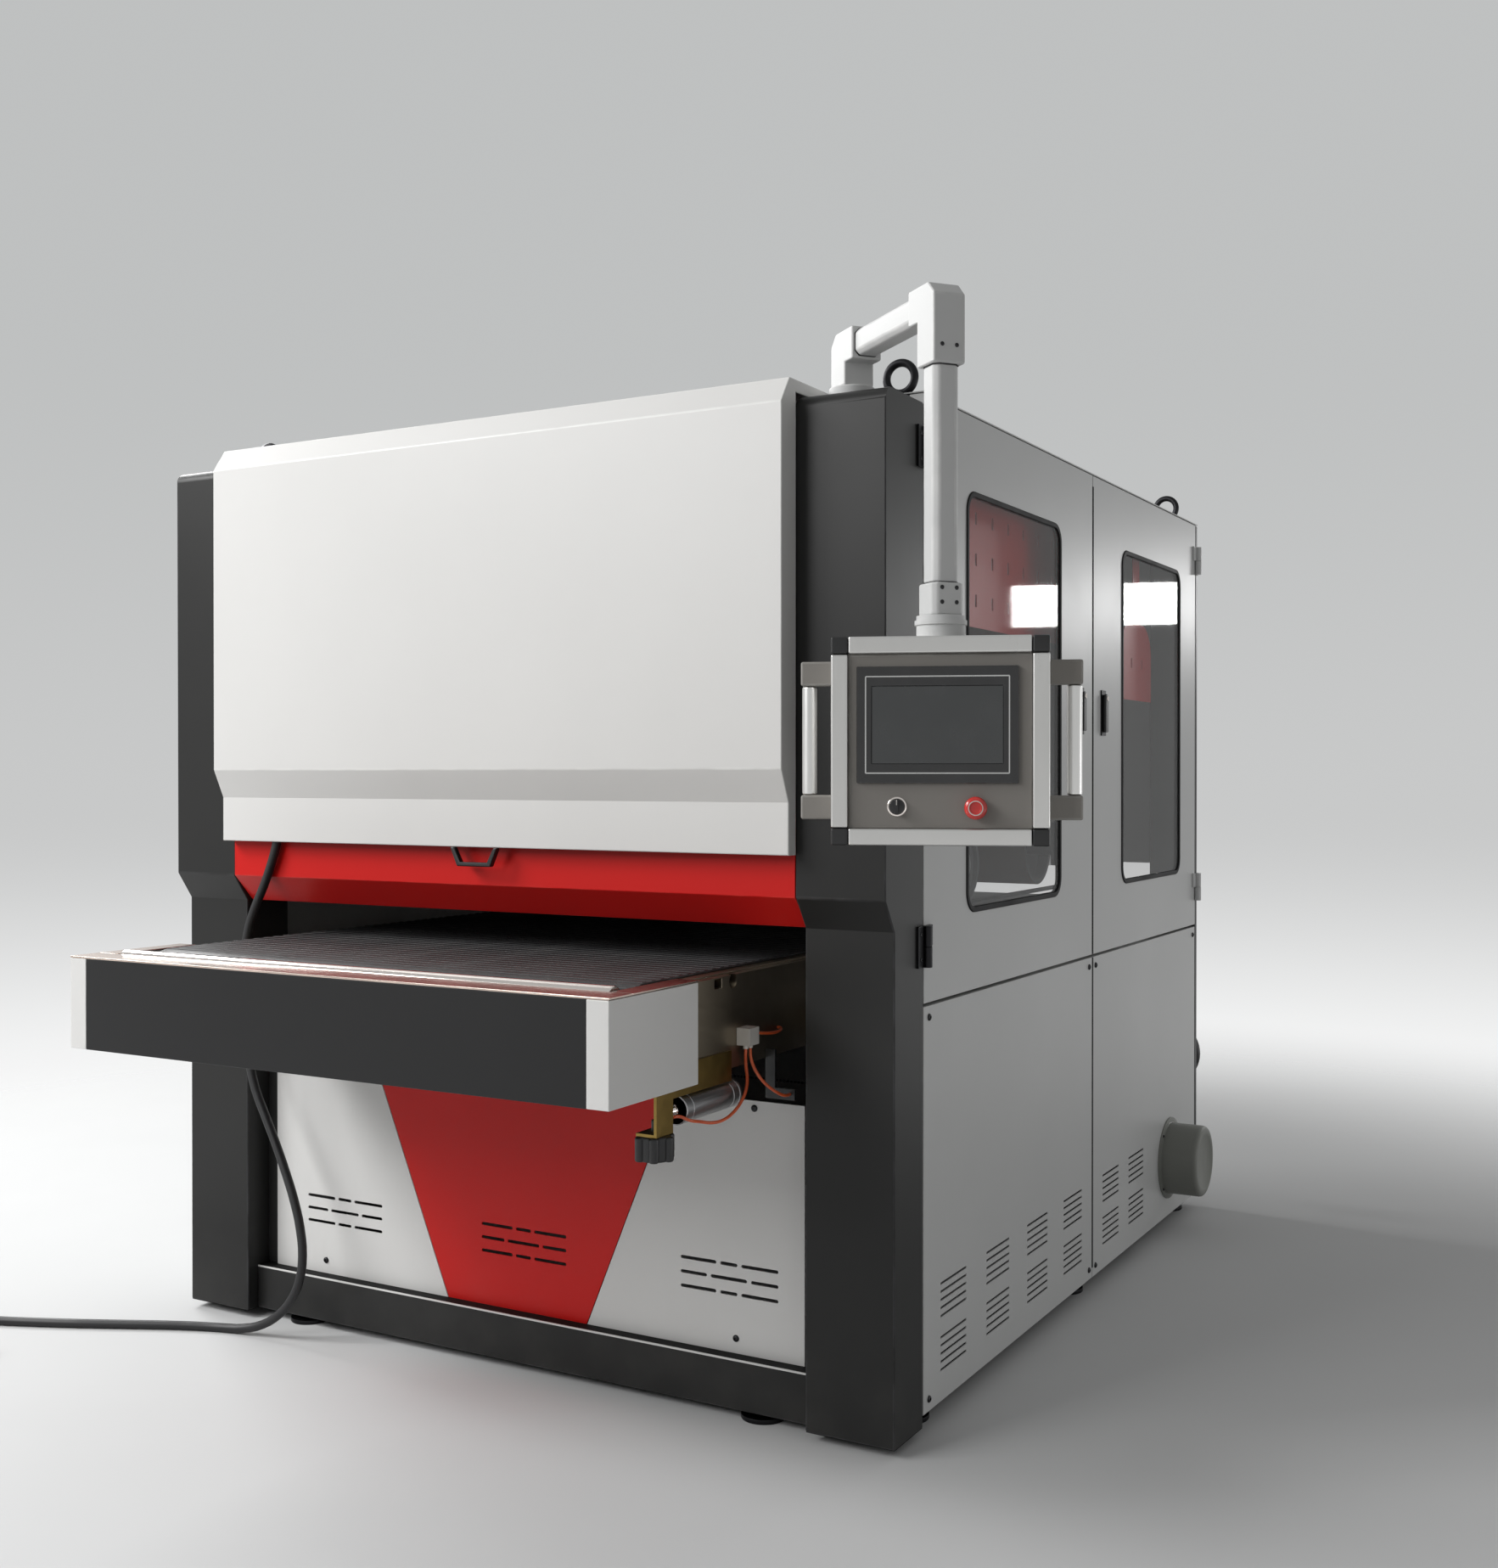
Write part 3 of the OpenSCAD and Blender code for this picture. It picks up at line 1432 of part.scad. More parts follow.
// Fixed hinge leaves with their pins: two for each door and two for the hood
module hinge_pins() {
    color([0.05, 0.05, 0.05]) machine() {
        for (i = [0, 1], z = hinge_zs) {
            y = hinge_ys[i];
            out = i == 0 ? -hinge_leaf : corner_strip;
            near = y + sign(out) * (hinge_r + seat_gap);
            slab([half_w, min(y + out, near), z - hinge_h],
                 [half_w + hinge_leaf_t, max(y + out, near), z + hinge_h]);
            slab([half_w, min(y, y + out), z - hinge_h],
                 [half_w + hinge_leaf_t, max(y, y + out), z - seat_gap]);
            rod_z(hinge_r, z - hinge_h, z - seat_gap, hinge_x, y);
            rod_z(hinge_pin_r, z - hinge_h, z + hinge_h, hinge_x, y);
        }
        for (x = hood_hinge_xs) {
            for (s = [-1, 1])
                slab([x + s * (hood_knuckle_half + seat_gap + hood_ear / 2) - hood_ear / 2,
                      hood_hinge_y - hood_knuckle_r, roof_top],
                     [x + s * (hood_knuckle_half + seat_gap + hood_ear / 2) + hood_ear / 2,
                      hood_hinge_y + hood_knuckle_r, hood_hinge_z + hood_knuckle_r]);
            rod_x(hood_pin_r, x - hood_knuckle_half - hood_ear, x + hood_knuckle_half + hood_ear,
                  hood_hinge_y,
                  hood_hinge_z);
        }
    }
}

module round_rect(w, h, r) {
    translate([-w / 2 + r, -h / 2]) square([w - 2 * r, h]);
    translate([-w / 2, -h / 2 + r]) square([w, h - 2 * r]);
    for (x = [-1, 1], y = [-1, 1]) translate([x * (w / 2 - r), y * (h / 2 - r)]) circle(r);
}

door_spans = [[tray_y0, seam_y - door_gap / 2], [seam_y + door_gap / 2, tray_y1]];
window_front = 212;
window_seam = 233;
window_rear = 165;
window_spans = [[tray_y0 + window_front, seam_y - window_seam], [seam_y + window_seam,
tray_y1 - window_rear]];
latch_before = 91;
latch_behind = 79;
latch_ys = [seam_y - latch_before, seam_y + latch_behind];
latch_z = 1425;
latch_h = 112;
latch_w = 34;
latch_t = 3;

module window(i, inset) {
    span = window_spans[i];
    h = window_z1 - window_z0;
    translate([(span[0] + span[1]) / 2, (window_z0 + window_z1) / 2])
        round_rect(span[1] - span[0] - 2 * inset, h - 2 * inset, window_r - inset);
}

// Folded door with its window cut, hinge knuckles and latch plate
module door(i) {
    ys = door_spans[i];
    y = hinge_ys[i];
    in = i == 0 ? hinge_leaf : -hinge_leaf;
    difference() {
        side_tray(ys[0], ys[1], door_z0, door_z1);
        along_x(half_w - sheet - overrun, half_w + overrun) window(i, 0);
    }
    for (z = hinge_zs) difference() {
        union() {
            slab([half_w - lap, min(y + sign(in) * door_gap, y + in), z + seat_gap],
                 [half_w, max(y + sign(in) * door_gap, y + in), z + hinge_h]);
            slab([half_w, min(y, y + in), z + seat_gap],
                 [half_w + hinge_leaf_t, max(y, y + in), z + hinge_h]);
            rod_z(hinge_r - seat_gap, z + seat_gap, z + hinge_h, hinge_x, y);
        }
        rod_z(hinge_pin_r + run_gap, z - overrun, z + hinge_h + overrun, hinge_x, y);
    }
    slab([half_w + seat_gap, latch_ys[i] - latch_w / 2, latch_z - latch_h / 2],
         [half_w + seat_gap + latch_t, latch_ys[i] + latch_w / 2, latch_z + latch_h / 2]);
}

module front_door() {
    color([0.72, 0.72, 0.71]) machine() door(0);
}

module rear_door() {
    color([0.72, 0.72, 0.71]) machine() door(1);
}

gasket_out = 3;
gasket_in = 9;
pane_t = 4;

// Rubber gasket in the door's cut-out and the smoked pane that it holds
module door_glass(i) {
    color([0.05, 0.05, 0.05]) machine() along_x(half_w - gasket_in, half_w + gasket_out) difference() {
        window(i, seat_gap);
        window(i, gasket_w);
    }
    color([0.3, 0.3, 0.3, 0.6]) machine() along_x(half_w - pane_t - lap, half_w - lap)
        window(i, gasket_w + seat_gap);
}

module front_door_glass() {
    door_glass(0);
}

module rear_door_glass() {
    door_glass(1);
}

lever_w = 22;
lever_t = 9;
lever_len = 84;
lever_drop = 36;

// Swing handle that turns about its lock at the upper end
module latch(i) {
    x0 = half_w + latch_t + 2 * seat_gap;
    z = latch_z + lever_drop;
    color([0.04, 0.04, 0.04]) machine() {
        rod_x(lever_w / 2, x0, x0 + lever_t, latch_ys[i], z);
        slab([x0, latch_ys[i] - lever_w / 2, z - lever_len], [x0 + lever_t, latch_ys[i] + lever_w / 2, z]);
    }
}

module front_latch() {
    latch(0);
}

module rear_latch() {
    latch(1);
}

// Hood

hood_lap = 2.5;
hood_half = inner_x + hood_lap;
hood_face_y = front_upper_y - hood_depth;
hood_lip_in = 28;
hood_lip_y = hood_face_y + hood_lip_in;
hood_lip_h = 99;
hood_lip_z = hood_bottom_z + hood_lip_h;
hood_fold_h = 63;
hood_fold_z = hood_lip_z + hood_fold_h;
hood_rise = 7;
hood_top = roof_top + hood_rise;
hood_ridge_in = 34;
hood_ridge_y = hood_face_y + hood_ridge_in;
hood_shoulder_h = 50;
hood_shoulder_z = hood_top - hood_shoulder_h;
hood_web = 12;
hood_rear = hood_hinge_y - hood_knuckle_r - hood_web;
cheek_inset = 5;
hood_cheek_rear = column_d - cheek_inset;
hood_clear = 3;

// One folded sheet with side cheeks and two hinge knuckles
module hood_cover() {
    t = hood_t;
    cheek_low = column_h + hood_clear * 2;
    color([0.89, 0.88, 0.86]) machine() {
        along_x(-hood_half, hood_half) polygon([
            [hood_lip_y, hood_bottom_z], [hood_lip_y, hood_lip_z], [hood_face_y, hood_fold_z],
            [hood_face_y, hood_shoulder_z], [hood_ridge_y, hood_top], [hood_rear, hood_top],
            [hood_rear, hood_top - t], [hood_ridge_y + t / 2, hood_top - t],
            [hood_face_y + t, hood_shoulder_z - t / 3], [hood_face_y + t, hood_fold_z + t / 3],
            [hood_lip_y + t, hood_lip_z + t / 3], [hood_lip_y + t, hood_bottom_z]]);
        both_sides() along_x(hood_half - t, hood_half) polygon([
            [hood_lip_y, hood_bottom_z], [hood_lip_y, hood_lip_z], [hood_face_y, hood_fold_z],
            [hood_face_y, hood_shoulder_z], [hood_ridge_y, hood_top], [hood_cheek_rear, hood_top],
            [hood_cheek_rear, cheek_low], [front_upper_y - hood_clear, cheek_low],
            [front_upper_y - hood_clear, hood_bottom_z]]);
        for (x = hood_hinge_xs) difference() {
            union() {
                rod_x(hood_knuckle_r, x - hood_knuckle_half, x + hood_knuckle_half, hood_hinge_y,
                      hood_hinge_z);
                slab([x - hood_knuckle_half, hood_rear - lap, hood_top - t],
                     [x + hood_knuckle_half, hood_hinge_y, hood_top]);
            }
            rod_x(hood_pin_r + run_gap, x - hood_knuckle_half - overrun, x + hood_knuckle_half + overrun,
                  hood_hinge_y, hood_hinge_z);
        }
    }
}

pull_x = -5;
pull_top_half = 62;
pull_foot_half = 44;
pull_h = 40;
pull_rod = 9;
pull_d = 14;

// Black D-shaped pull under the hood's lip
module hood_handle() {
    z1 = hood_bottom_z - seat_gap;
    z0 = z1 - pull_h;
    y0 = hood_lip_y - pull_d / 2 + hood_t / 2;
    color([0.04, 0.04, 0.04]) machine() along_y(y0, y0 + pull_d) translate([pull_x, 0]) difference() {
        polygon([[-pull_foot_half, z0], [pull_foot_half, z0], [pull_top_half, z1], [-pull_top_half, z1]]);
        polygon([[-pull_foot_half + pull_rod, z0 + pull_rod], [pull_foot_half - pull_rod, z0 + pull_rod],
                 [pull_top_half - pull_rod, z1 + overrun], [-pull_top_half + pull_rod, z1 + overrun]]);
    }
}

left_column();
right_column();
frame_rails();
roof_panel();
right_side_panels();
cabinet_panels();
front_panels();
red_crossbar();
lifting_eyes();
levelling_feet();
panel_screws();
inner_guards();
head_arms();
abrasive_belts();
dust_ports();
main_motor();
drive_belts();
lift_drive();
arm_base();
hinge_pins();
cord_gland();
power_cord();
cord_coil();
cord_plug();
front_drum();
rear_drum();
front_tension_roller();
rear_tension_roller();
pressure_roller();
motor_pulley();
table_bed();
conveyor_belt();
conveyor_drive_roller();
conveyor_tension_roller();
infeed_roller();
apron_panel();
apron_end_caps();
conveyor_gearmotor();
tracking_unit();
star_knob();
air_hoses();
front_left_lift_screw();
front_right_lift_screw();
rear_left_lift_screw();
rear_right_lift_screw();
lift_handwheel();
pendant_arm();
pendant_box();
pendant_screen();
pendant_handles();
estop_button();
selector_switch();
front_door();
front_door_glass();
front_latch();
rear_door();
rear_door_glass();
rear_latch();
hood_cover();
hood_handle();
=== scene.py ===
import contextlib
import json
import math

import bmesh
import bpy
from mathutils import Matrix, Vector

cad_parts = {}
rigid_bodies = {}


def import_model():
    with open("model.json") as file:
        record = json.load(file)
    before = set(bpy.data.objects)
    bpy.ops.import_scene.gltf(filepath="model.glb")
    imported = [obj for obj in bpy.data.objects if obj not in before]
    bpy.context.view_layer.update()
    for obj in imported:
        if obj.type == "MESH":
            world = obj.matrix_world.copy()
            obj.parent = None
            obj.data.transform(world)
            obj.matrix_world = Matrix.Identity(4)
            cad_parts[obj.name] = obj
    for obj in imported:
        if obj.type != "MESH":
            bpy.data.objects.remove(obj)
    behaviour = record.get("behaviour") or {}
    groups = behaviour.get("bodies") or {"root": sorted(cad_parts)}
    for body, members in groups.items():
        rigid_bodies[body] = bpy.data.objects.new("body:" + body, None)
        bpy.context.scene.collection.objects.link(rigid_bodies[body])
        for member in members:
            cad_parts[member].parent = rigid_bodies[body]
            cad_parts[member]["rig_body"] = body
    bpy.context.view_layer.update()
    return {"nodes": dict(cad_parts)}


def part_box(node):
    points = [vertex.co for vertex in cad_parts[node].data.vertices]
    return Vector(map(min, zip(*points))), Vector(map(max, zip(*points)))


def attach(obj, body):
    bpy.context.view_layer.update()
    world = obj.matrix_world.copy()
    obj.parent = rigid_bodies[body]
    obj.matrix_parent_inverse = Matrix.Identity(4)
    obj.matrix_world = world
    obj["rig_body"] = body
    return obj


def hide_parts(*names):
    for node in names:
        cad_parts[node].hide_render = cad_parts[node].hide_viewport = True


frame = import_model()
nodes = frame["nodes"]
scene = bpy.context.scene
scene.view_settings.view_transform = "Standard"


# Camera
# It stands in front of the machine's right-hand column at chest height, level but for a slight
# downward tilt, with a short standard lens.
CAMERA_AT, CAMERA_TILT, CAMERA_TURN = (2.02278, -3.71525, 1.273), 89.67, 29.6
LENS_MM, SENSOR_MM = 38.63, 36
bpy.ops.object.camera_add(
    location=CAMERA_AT, rotation=(math.radians(CAMERA_TILT), 0, math.radians(CAMERA_TURN))
)
scene.camera = bpy.context.object
scene.camera.data.lens = LENS_MM
scene.camera.data.sensor_width = SENSOR_MM


# Studio floor and light
# A matt pale floor runs out into a grey wall with no edge between them. Two large soft lamps stand
# high on the left and a third in front, a weak one stands low on the right, and a narrow one far
# behind puts a sheen on the doors and their windows.
class Wire:
    """One output socket. Arithmetic on it adds Math nodes; node() adds any other node."""

    def __init__(self, tree, socket):
        self.tree, self.socket = tree, socket

    def join(self, value, socket):
        if isinstance(value, Wire):
            self.tree.links.new(value.socket, socket)
        elif socket.type == "RGBA" and len(value) == 3:
            socket.default_value = (*value, 1)
        else:
            socket.default_value = value

    def node(self, kind, settings=None, feeds=None, out=0):
        """Adds a node: its settings first, then the values or wires of its sockets."""
        made = self.tree.nodes.new("ShaderNode" + kind)
        for name, value in (settings or {}).items():
            setattr(made, name, value)
        for name, value in (feeds or {}).items():
            self.join(value, made.inputs[name])
        return Wire(self.tree, made.outputs[out])

    def maths(self, operation, first, second):
        return self.node("Math", {"operation": operation}, {0: first, 1: second})

    def __add__(self, other):
        return self.maths("ADD", self, other)

    def __rsub__(self, other):
        return self.maths("SUBTRACT", other, self)

    def __mul__(self, other):
        return self.maths("MULTIPLY", self, other)

    def noise(self, scale, detail=2.0):
        """Noise of this place, about one half, with scale waves to the metre."""
        return self.node("TexNoise", None, {"Vector": self, "Scale": scale, "Detail": detail})

    def step(self, low, high):
        """This value from 0 at low to 1 at high, held at both ends."""
        ends = {0: self, 1: low, 2: high}
        return self.node("MapRange", {"interpolation_type": "SMOOTHSTEP"}, ends)

    def blend(self, low, high):
        """The colour from low to high as this value goes from 0 to 1."""
        return self.node("Mix", {"data_type": "RGBA"}, {0: self, 6: low, 7: high}, out=2)


def new_finish(name, **shader):
    """A new material: its shader with these fixed values, and the place on the piece."""
    material = bpy.data.materials.new(name)
    material.use_nodes = True
    tree = material.node_tree
    coat = tree.nodes["Principled BSDF"]
    for socket, value in shader.items():
        coat.inputs[socket.replace("_", " ")].default_value = value
    return material, coat, Wire(tree, tree.nodes.new("ShaderNodeTexCoord").outputs["Object"])


FLOOR_PALE, FLOOR_DARK = (0.66, 0.665, 0.665), (0.645, 0.65, 0.65)
FLOOR_R, FADE_FROM, FADE_TO = 14, 2.0, 5.2
floor_finish, floor_coat, floor_place = new_finish(
    "studio_floor", Roughness=0.75, Specular_IOR_Level=0.2
)
mottle = floor_place.noise(1.2, 3.0).step(0.3, 0.7)
floor_place.join(mottle.blend(FLOOR_DARK, FLOOR_PALE), floor_coat.inputs["Base Color"])
reach = floor_place.node("VectorMath", {"operation": "LENGTH"}, {0: floor_place}, out=1)
lit_floor = Wire(floor_place.tree, floor_coat.outputs[0])
no_floor = floor_place.node("BsdfTransparent")
faded = floor_place.node(
    "MixShader", None, {0: reach.step(FADE_FROM, FADE_TO), 1: lit_floor, 2: no_floor}
)
floor_place.join(faded, floor_finish.node_tree.nodes["Material Output"].inputs["Surface"])
bpy.ops.mesh.primitive_circle_add(vertices=96, radius=FLOOR_R, fill_type="NGON")
floor = bpy.context.object
floor.name = "studio_floor"
floor.data.materials.append(floor_finish)

WALL_GREY, AMBIENT = (0.52, 0.53, 0.53), 0.25
FAR_FLOOR, FAR_WALL = (0.95, 0.955, 0.955), (0.58, 0.585, 0.585)
sky = bpy.data.worlds.new("studio_wall")
scene.world = sky
sky.use_nodes = True
sky_tree = sky.node_tree
rays = sky_tree.nodes.new("ShaderNodeLightPath").outputs
look_up = Wire(sky_tree, sky_tree.nodes.new("ShaderNodeTexCoord").outputs["Generated"])
height = look_up.node("SeparateXYZ", None, {0: look_up}, out=2)
seen = Wire(sky_tree, rays["Is Camera Ray"]) + Wire(sky_tree, rays["Is Glossy Ray"])
seen = seen + Wire(sky_tree, rays["Is Transmission Ray"])
far_floor = height.step(-0.19, -0.02).blend(FAR_FLOOR, FAR_WALL)
wall = height.step(-0.05, 0.25).blend(far_floor, WALL_GREY)
light = seen.blend((AMBIENT, AMBIENT, AMBIENT), wall)
look_up.join(light, sky_tree.nodes["Background"].inputs["Color"])


def studio_lamp(name, place, aim, size, watts):
    """A rectangular soft lamp that only its light and its reflections show."""
    turn = (Vector(aim) - Vector(place)).to_track_quat("-Z", "Y").to_euler()
    bpy.ops.object.light_add(type="AREA", location=place, rotation=turn)
    lamp = bpy.context.object
    lamp.name = name
    lamp.data.shape = "RECTANGLE"
    lamp.data.size, lamp.data.size_y = size
    lamp.data.energy = watts
    lamp.visible_camera = False


studio_lamp("key_lamp", (-4.2, -4.1, 4.7), (-0.2, -0.8, 0.9), (2.4, 2.2), 280)
studio_lamp("left_lamp", (-5.2, 0.8, 4.2), (0.0, 0.1, 0.8), (2.4, 2.2), 210)
studio_lamp("front_lamp", (-2.4, -6.0, 3.6), (0.0, -0.9, 1.2), (2.4, 2.0), 115)
studio_lamp("right_lamp", (6.2, 2.2, 0.75), (0.7, 0.4, 1.3), (2.4, 1.0), 35)
studio_lamp("back_lamp", (2.88, 7.5, 2.43), (0.7, 0.4, 1.5), (1.45, 0.28), 28)


# Power cord
# A heavy four-core rubber cable. It drops from a gland in the red crossbar, lies on the floor to
# the left and ends in a coil that a strap holds, with a red five-pin supply plug.
column_low, column_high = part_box("left_column")[0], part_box("right_column")[1]
COLUMN_STEP = 0.040
ORIGIN = Vector(((column_low.x + column_high.x) / 2, column_low.y + COLUMN_STEP, 0))


def spot(x, y, z):
    """A place on the machine, in metres from its middle, the columns' foot face and the floor."""
    return ORIGIN + Vector((x, y, z))


def alone(piece):
    """Selects one object and makes it the active one."""
    bpy.ops.object.select_all(action="DESELECT")
    piece.select_set(True)
    bpy.context.view_layer.objects.active = piece
    return piece


def fit(piece, body, slot, *stands_for):
    """Gives a finished piece its body and hides the nodes it stands for. The slot is not used."""
    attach(piece, body)
    if stands_for:
        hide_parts(*stands_for)
    return piece


def rubber(name, colour, roughness, grain, **shader):
    """Matt rubber or moulded plastic: a fine grain, rubbed paler in soft patches."""
    material, coat, place = new_finish(name, **shader)
    patch = place.noise(9.0, 4.0).step(0.35, 0.75)
    place.join(patch.blend(colour, [c * 1.15 + 0.002 for c in colour]), coat.inputs["Base Color"])
    place.join(patch * 0.14 + (roughness - 0.05), coat.inputs["Roughness"])
    skin = {"Height": place.noise(grain, 3.0), "Strength": 0.25, "Distance": 0.0004}
    place.join(place.node("Bump", None, skin), coat.inputs["Normal"])
    return material


CORD_ROUTE = [Vector(knot) / 1000 for knot in (
    (-585, -54, 1150), (-585, -54, 1130), (-590, -54, 1108), (-605, -53, 1070),
    (-632, -50, 1018), (-665, -46, 965), (-690, -43, 910), (-702, -41, 850),
    (-706, -40, 780), (-702, -40, 700), (-690, -40, 620), (-668, -41, 550),
    (-634, -43, 490), (-598, -46, 430), (-564, -50, 370), (-534, -54, 310),
    (-512, -58, 250), (-502, -62, 195), (-506, -66, 145), (-526, -70, 98),
    (-562, -74, 58), (-608, -79, 29), (-660, -86, 14), (-715, -98, 10),
    (-775, -119, 10), (-845, -150, 10), (-925, -190, 10), (-1005, -230, 10),
    (-1090, -270, 10), (-1175, -307, 10), (-1255, -338, 10), (-1335, -369, 10),
)]
CORD_D = 0.020
COIL_IN, COIL_PITCH, COIL_LOOPS, COIL_RINGS, COIL_STEPS = 0.088, 0.0212, 2, 24, 84
COIL_TAIL = 0.120
coil_out = COIL_IN + COIL_LOOPS * COIL_PITCH
cord_end = CORD_ROUTE[-1]
cord_way = (cord_end - CORD_ROUTE[-2]).normalized()
cord_heading = math.atan2(cord_way.y, cord_way.x)
coil_mid = cord_end + CORD_D * cord_way + coil_out * Vector((-cord_way.y, cord_way.x, 0))


def coil_point(turns):
    """The cord's middle after that many turns: in to the hub, up one layer, and out again."""
    over = turns - COIL_LOOPS
    radius = coil_out - COIL_PITCH * turns if over < 0 else COIL_IN + COIL_PITCH * over
    climb = min(max(over * 2 + 0.5, 0), 1)
    angle = cord_heading - math.pi / 2 + 2 * math.pi * turns
    lift = CORD_D / 2 + COIL_PITCH * climb * climb * (3 - 2 * climb)
    x, y = coil_mid.x + radius * math.cos(angle), coil_mid.y + radius * math.sin(angle)
    return Vector((x, y, lift))


def tube(name, line, diameter, rings, steps, finish):
    """A smooth round tube through the knots of a line, left as a curve."""
    curve = bpy.data.curves.new(name + "_line", "CURVE")
    curve.dimensions = "3D"
    curve.bevel_depth = diameter / 2
    curve.bevel_resolution, curve.resolution_u = rings, steps
    run = curve.splines.new("BEZIER")
    run.bezier_points.add(len(line) - 1)
    for knot, place in zip(run.bezier_points, line):
        knot.co = place
        knot.handle_left_type = knot.handle_right_type = "AUTO"
    curve.materials.append(finish)
    piece = bpy.data.objects.new(name, curve)
    scene.collection.objects.link(piece)
    return piece


coil = [coil_point(i / COIL_RINGS) for i in range(COIL_STEPS + 1)]
tail_heading = cord_heading + 2 * math.pi * COIL_STEPS / COIL_RINGS
tail_way = Vector((math.cos(tail_heading), math.sin(tail_heading), 0))
coil_tail = [coil[-1] + share * COIL_TAIL * tail_way for share in (0.35, 0.7, 1)]
cord_line = [spot(*p) for p in [*CORD_ROUTE, cord_end + CORD_D / 2 * cord_way, *coil, *coil_tail]]

cord_rubber = rubber("cord_rubber", (0.012, 0.012, 0.013), 0.5, 900)
power_cord = tube("power_cord_cable", cord_line, CORD_D, 5, 3, cord_rubber)
fit(power_cord, "frame", "cord_rubber", "power_cord", "cord_coil")


# Cord gland, tie and plug
# The gland is a black nylon screw fitting with a lock nut over the sheet and a tapered, ribbed boot
# that grips the cord. The coil is held by a hook-and-loop strap, and the plug is moulded plastic.
QUARTER = math.pi / 2
AXIS_TURNS = {"X": (0, QUARTER, 0), "Y": (-QUARTER, 0, 0), "-Y": (QUARTER, 0, 0), "Z": (0, 0, 0)}


@contextlib.contextmanager
def editing(piece):
    """Edit mode on one piece, all of it selected, and object mode after it."""
    alone(piece)
    bpy.ops.object.mode_set(mode="EDIT")
    bpy.ops.mesh.select_all(action="SELECT")
    yield
    bpy.ops.object.mode_set(mode="OBJECT")


def turned(sides, stations, place, axis="Z", *, finish):
    """A turned shape: a disc drawn out through stations of (distance along the axis, radius)."""
    start, radius = stations[0]
    bpy.ops.mesh.primitive_circle_add(
        vertices=sides, radius=radius, fill_type="NGON", location=(0, 0, start)
    )
    shape = bpy.context.object
    bpy.ops.object.transform_apply()
    with editing(shape):
        for along, wider in stations[1:]:
            bpy.ops.mesh.extrude_region_move(
                TRANSFORM_OT_translate={"value": (0, 0, along - start)}
            )
            grow = wider / radius
            bpy.ops.transform.resize(value=(grow, grow, 1), center_override=(0, 0, along))
            start, radius = along, wider
        bpy.ops.mesh.select_all(action="SELECT")
        bpy.ops.mesh.normals_make_consistent(inside=False)
    shape.rotation_euler = AXIS_TURNS[axis]
    shape.location = place
    bpy.ops.object.transform_apply()
    bpy.ops.object.shade_smooth_by_angle(angle=math.radians(38))
    shape.data.materials.append(finish)
    return shape


def joined(name, parts):
    """One piece of several shapes."""
    bpy.ops.object.select_all(action="DESELECT")
    for part in parts:
        part.select_set(True)
    bpy.context.view_layer.objects.active = parts[0]
    bpy.ops.object.join()
    parts[0].name = name
    return parts[0]


def pick(piece, kind, wanted):
    """In edit mode, selects the vertices, edges or faces that wanted() agrees to."""
    bpy.ops.mesh.select_mode(type=kind)
    bpy.ops.mesh.select_all(action="DESELECT")
    mesh = bmesh.from_edit_mesh(piece.data)
    for part in {"VERT": mesh.verts, "EDGE": mesh.edges, "FACE": mesh.faces}[kind]:
        if wanted(part):
            part.select_set(True)
    bmesh.update_edit_mesh(piece.data)


def shaded(piece, sharp=28):
    """Shades a piece smooth up to the sharp angle, its wide faces kept flat."""
    alone(piece)
    bpy.ops.mesh.customdata_custom_splitnormals_clear()
    bpy.ops.object.shade_smooth_by_angle(angle=math.radians(sharp - 1), keep_sharp_edges=False)
    bpy.ops.object.modifier_add(type="WEIGHTED_NORMAL")
    piece.modifiers[-1].keep_sharp = True
    bpy.ops.object.modifier_apply(modifier=piece.modifiers[-1].name)
    return piece


def rounded(piece, width, least=0.0, segments=2, where=None, sharp=28):
    """Rounds the sharp outer edges that are longer than least, and marks them for wear and a
    painted highlight.
    """
    limit = math.radians(sharp)

    def outer(edge):
        if not edge.is_manifold or not edge.is_convex or edge.calc_length() < least:
            return False
        if edge.calc_face_angle() < limit:
            return False
        return where is None or where((edge.verts[0].co + edge.verts[1].co) / 2 - ORIGIN)

    with editing(piece):
        pick(piece, "EDGE", outer)
        bpy.ops.mesh.bevel(offset=width, segments=segments, affect="EDGES", clamp_overlap=False)
        mesh = bmesh.from_edit_mesh(piece.data)
        # The new bevel faces are marked for paler paint: edge wear and a painted edge highlight.
        marks = mesh.faces.layers.float
        edge_wear_and_highlight = marks.get("edge_wear_and_highlight") or marks.new("edge_wear_and_highlight")
        for face in mesh.faces:
            narrow = face.calc_area() < width * face.calc_perimeter()
            face[edge_wear_and_highlight] = float(face.select and narrow)
        bmesh.update_edit_mesh(piece.data)
    return shaded(piece, sharp)


def block(low, high, width, finish, segments=2, where=None):
    """A block with rounded edges between two corners."""
    low, high = Vector(low), Vector(high)
    bpy.ops.mesh.primitive_cube_add(size=1, location=(low + high) / 2)
    shape = bpy.context.object
    shape.scale = high - low
    bpy.ops.object.transform_apply()
    rounded(shape, width, segments=segments, where=where)
    shape.data.materials.append(finish)
    return shape


def cad_copy(node, name):
    """A copy of a CAD node's mesh with its triangles merged into whole faces."""
    piece = bpy.data.objects.new(name, nodes[node].data.copy())
    scene.collection.objects.link(piece)
    piece.data.materials.clear()
    with editing(piece):
        bpy.ops.mesh.remove_doubles(threshold=0.00002)
        bpy.ops.mesh.dissolve_limited(angle_limit=math.radians(0.6))
    return shaded(piece)


def eased(node, name, finish, slot, width, least=0.0, segments=2, where=None, sharp=28):
    """A copy of a CAD node with its outer edges rounded, which stands for the node."""
    piece = rounded(cad_copy(node, name), width, least, segments, where, sharp)
    for coat in finish if isinstance(finish, list) else [finish]:
        piece.data.materials.append(coat)
    return fit(piece, nodes[node]["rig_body"], slot, node)


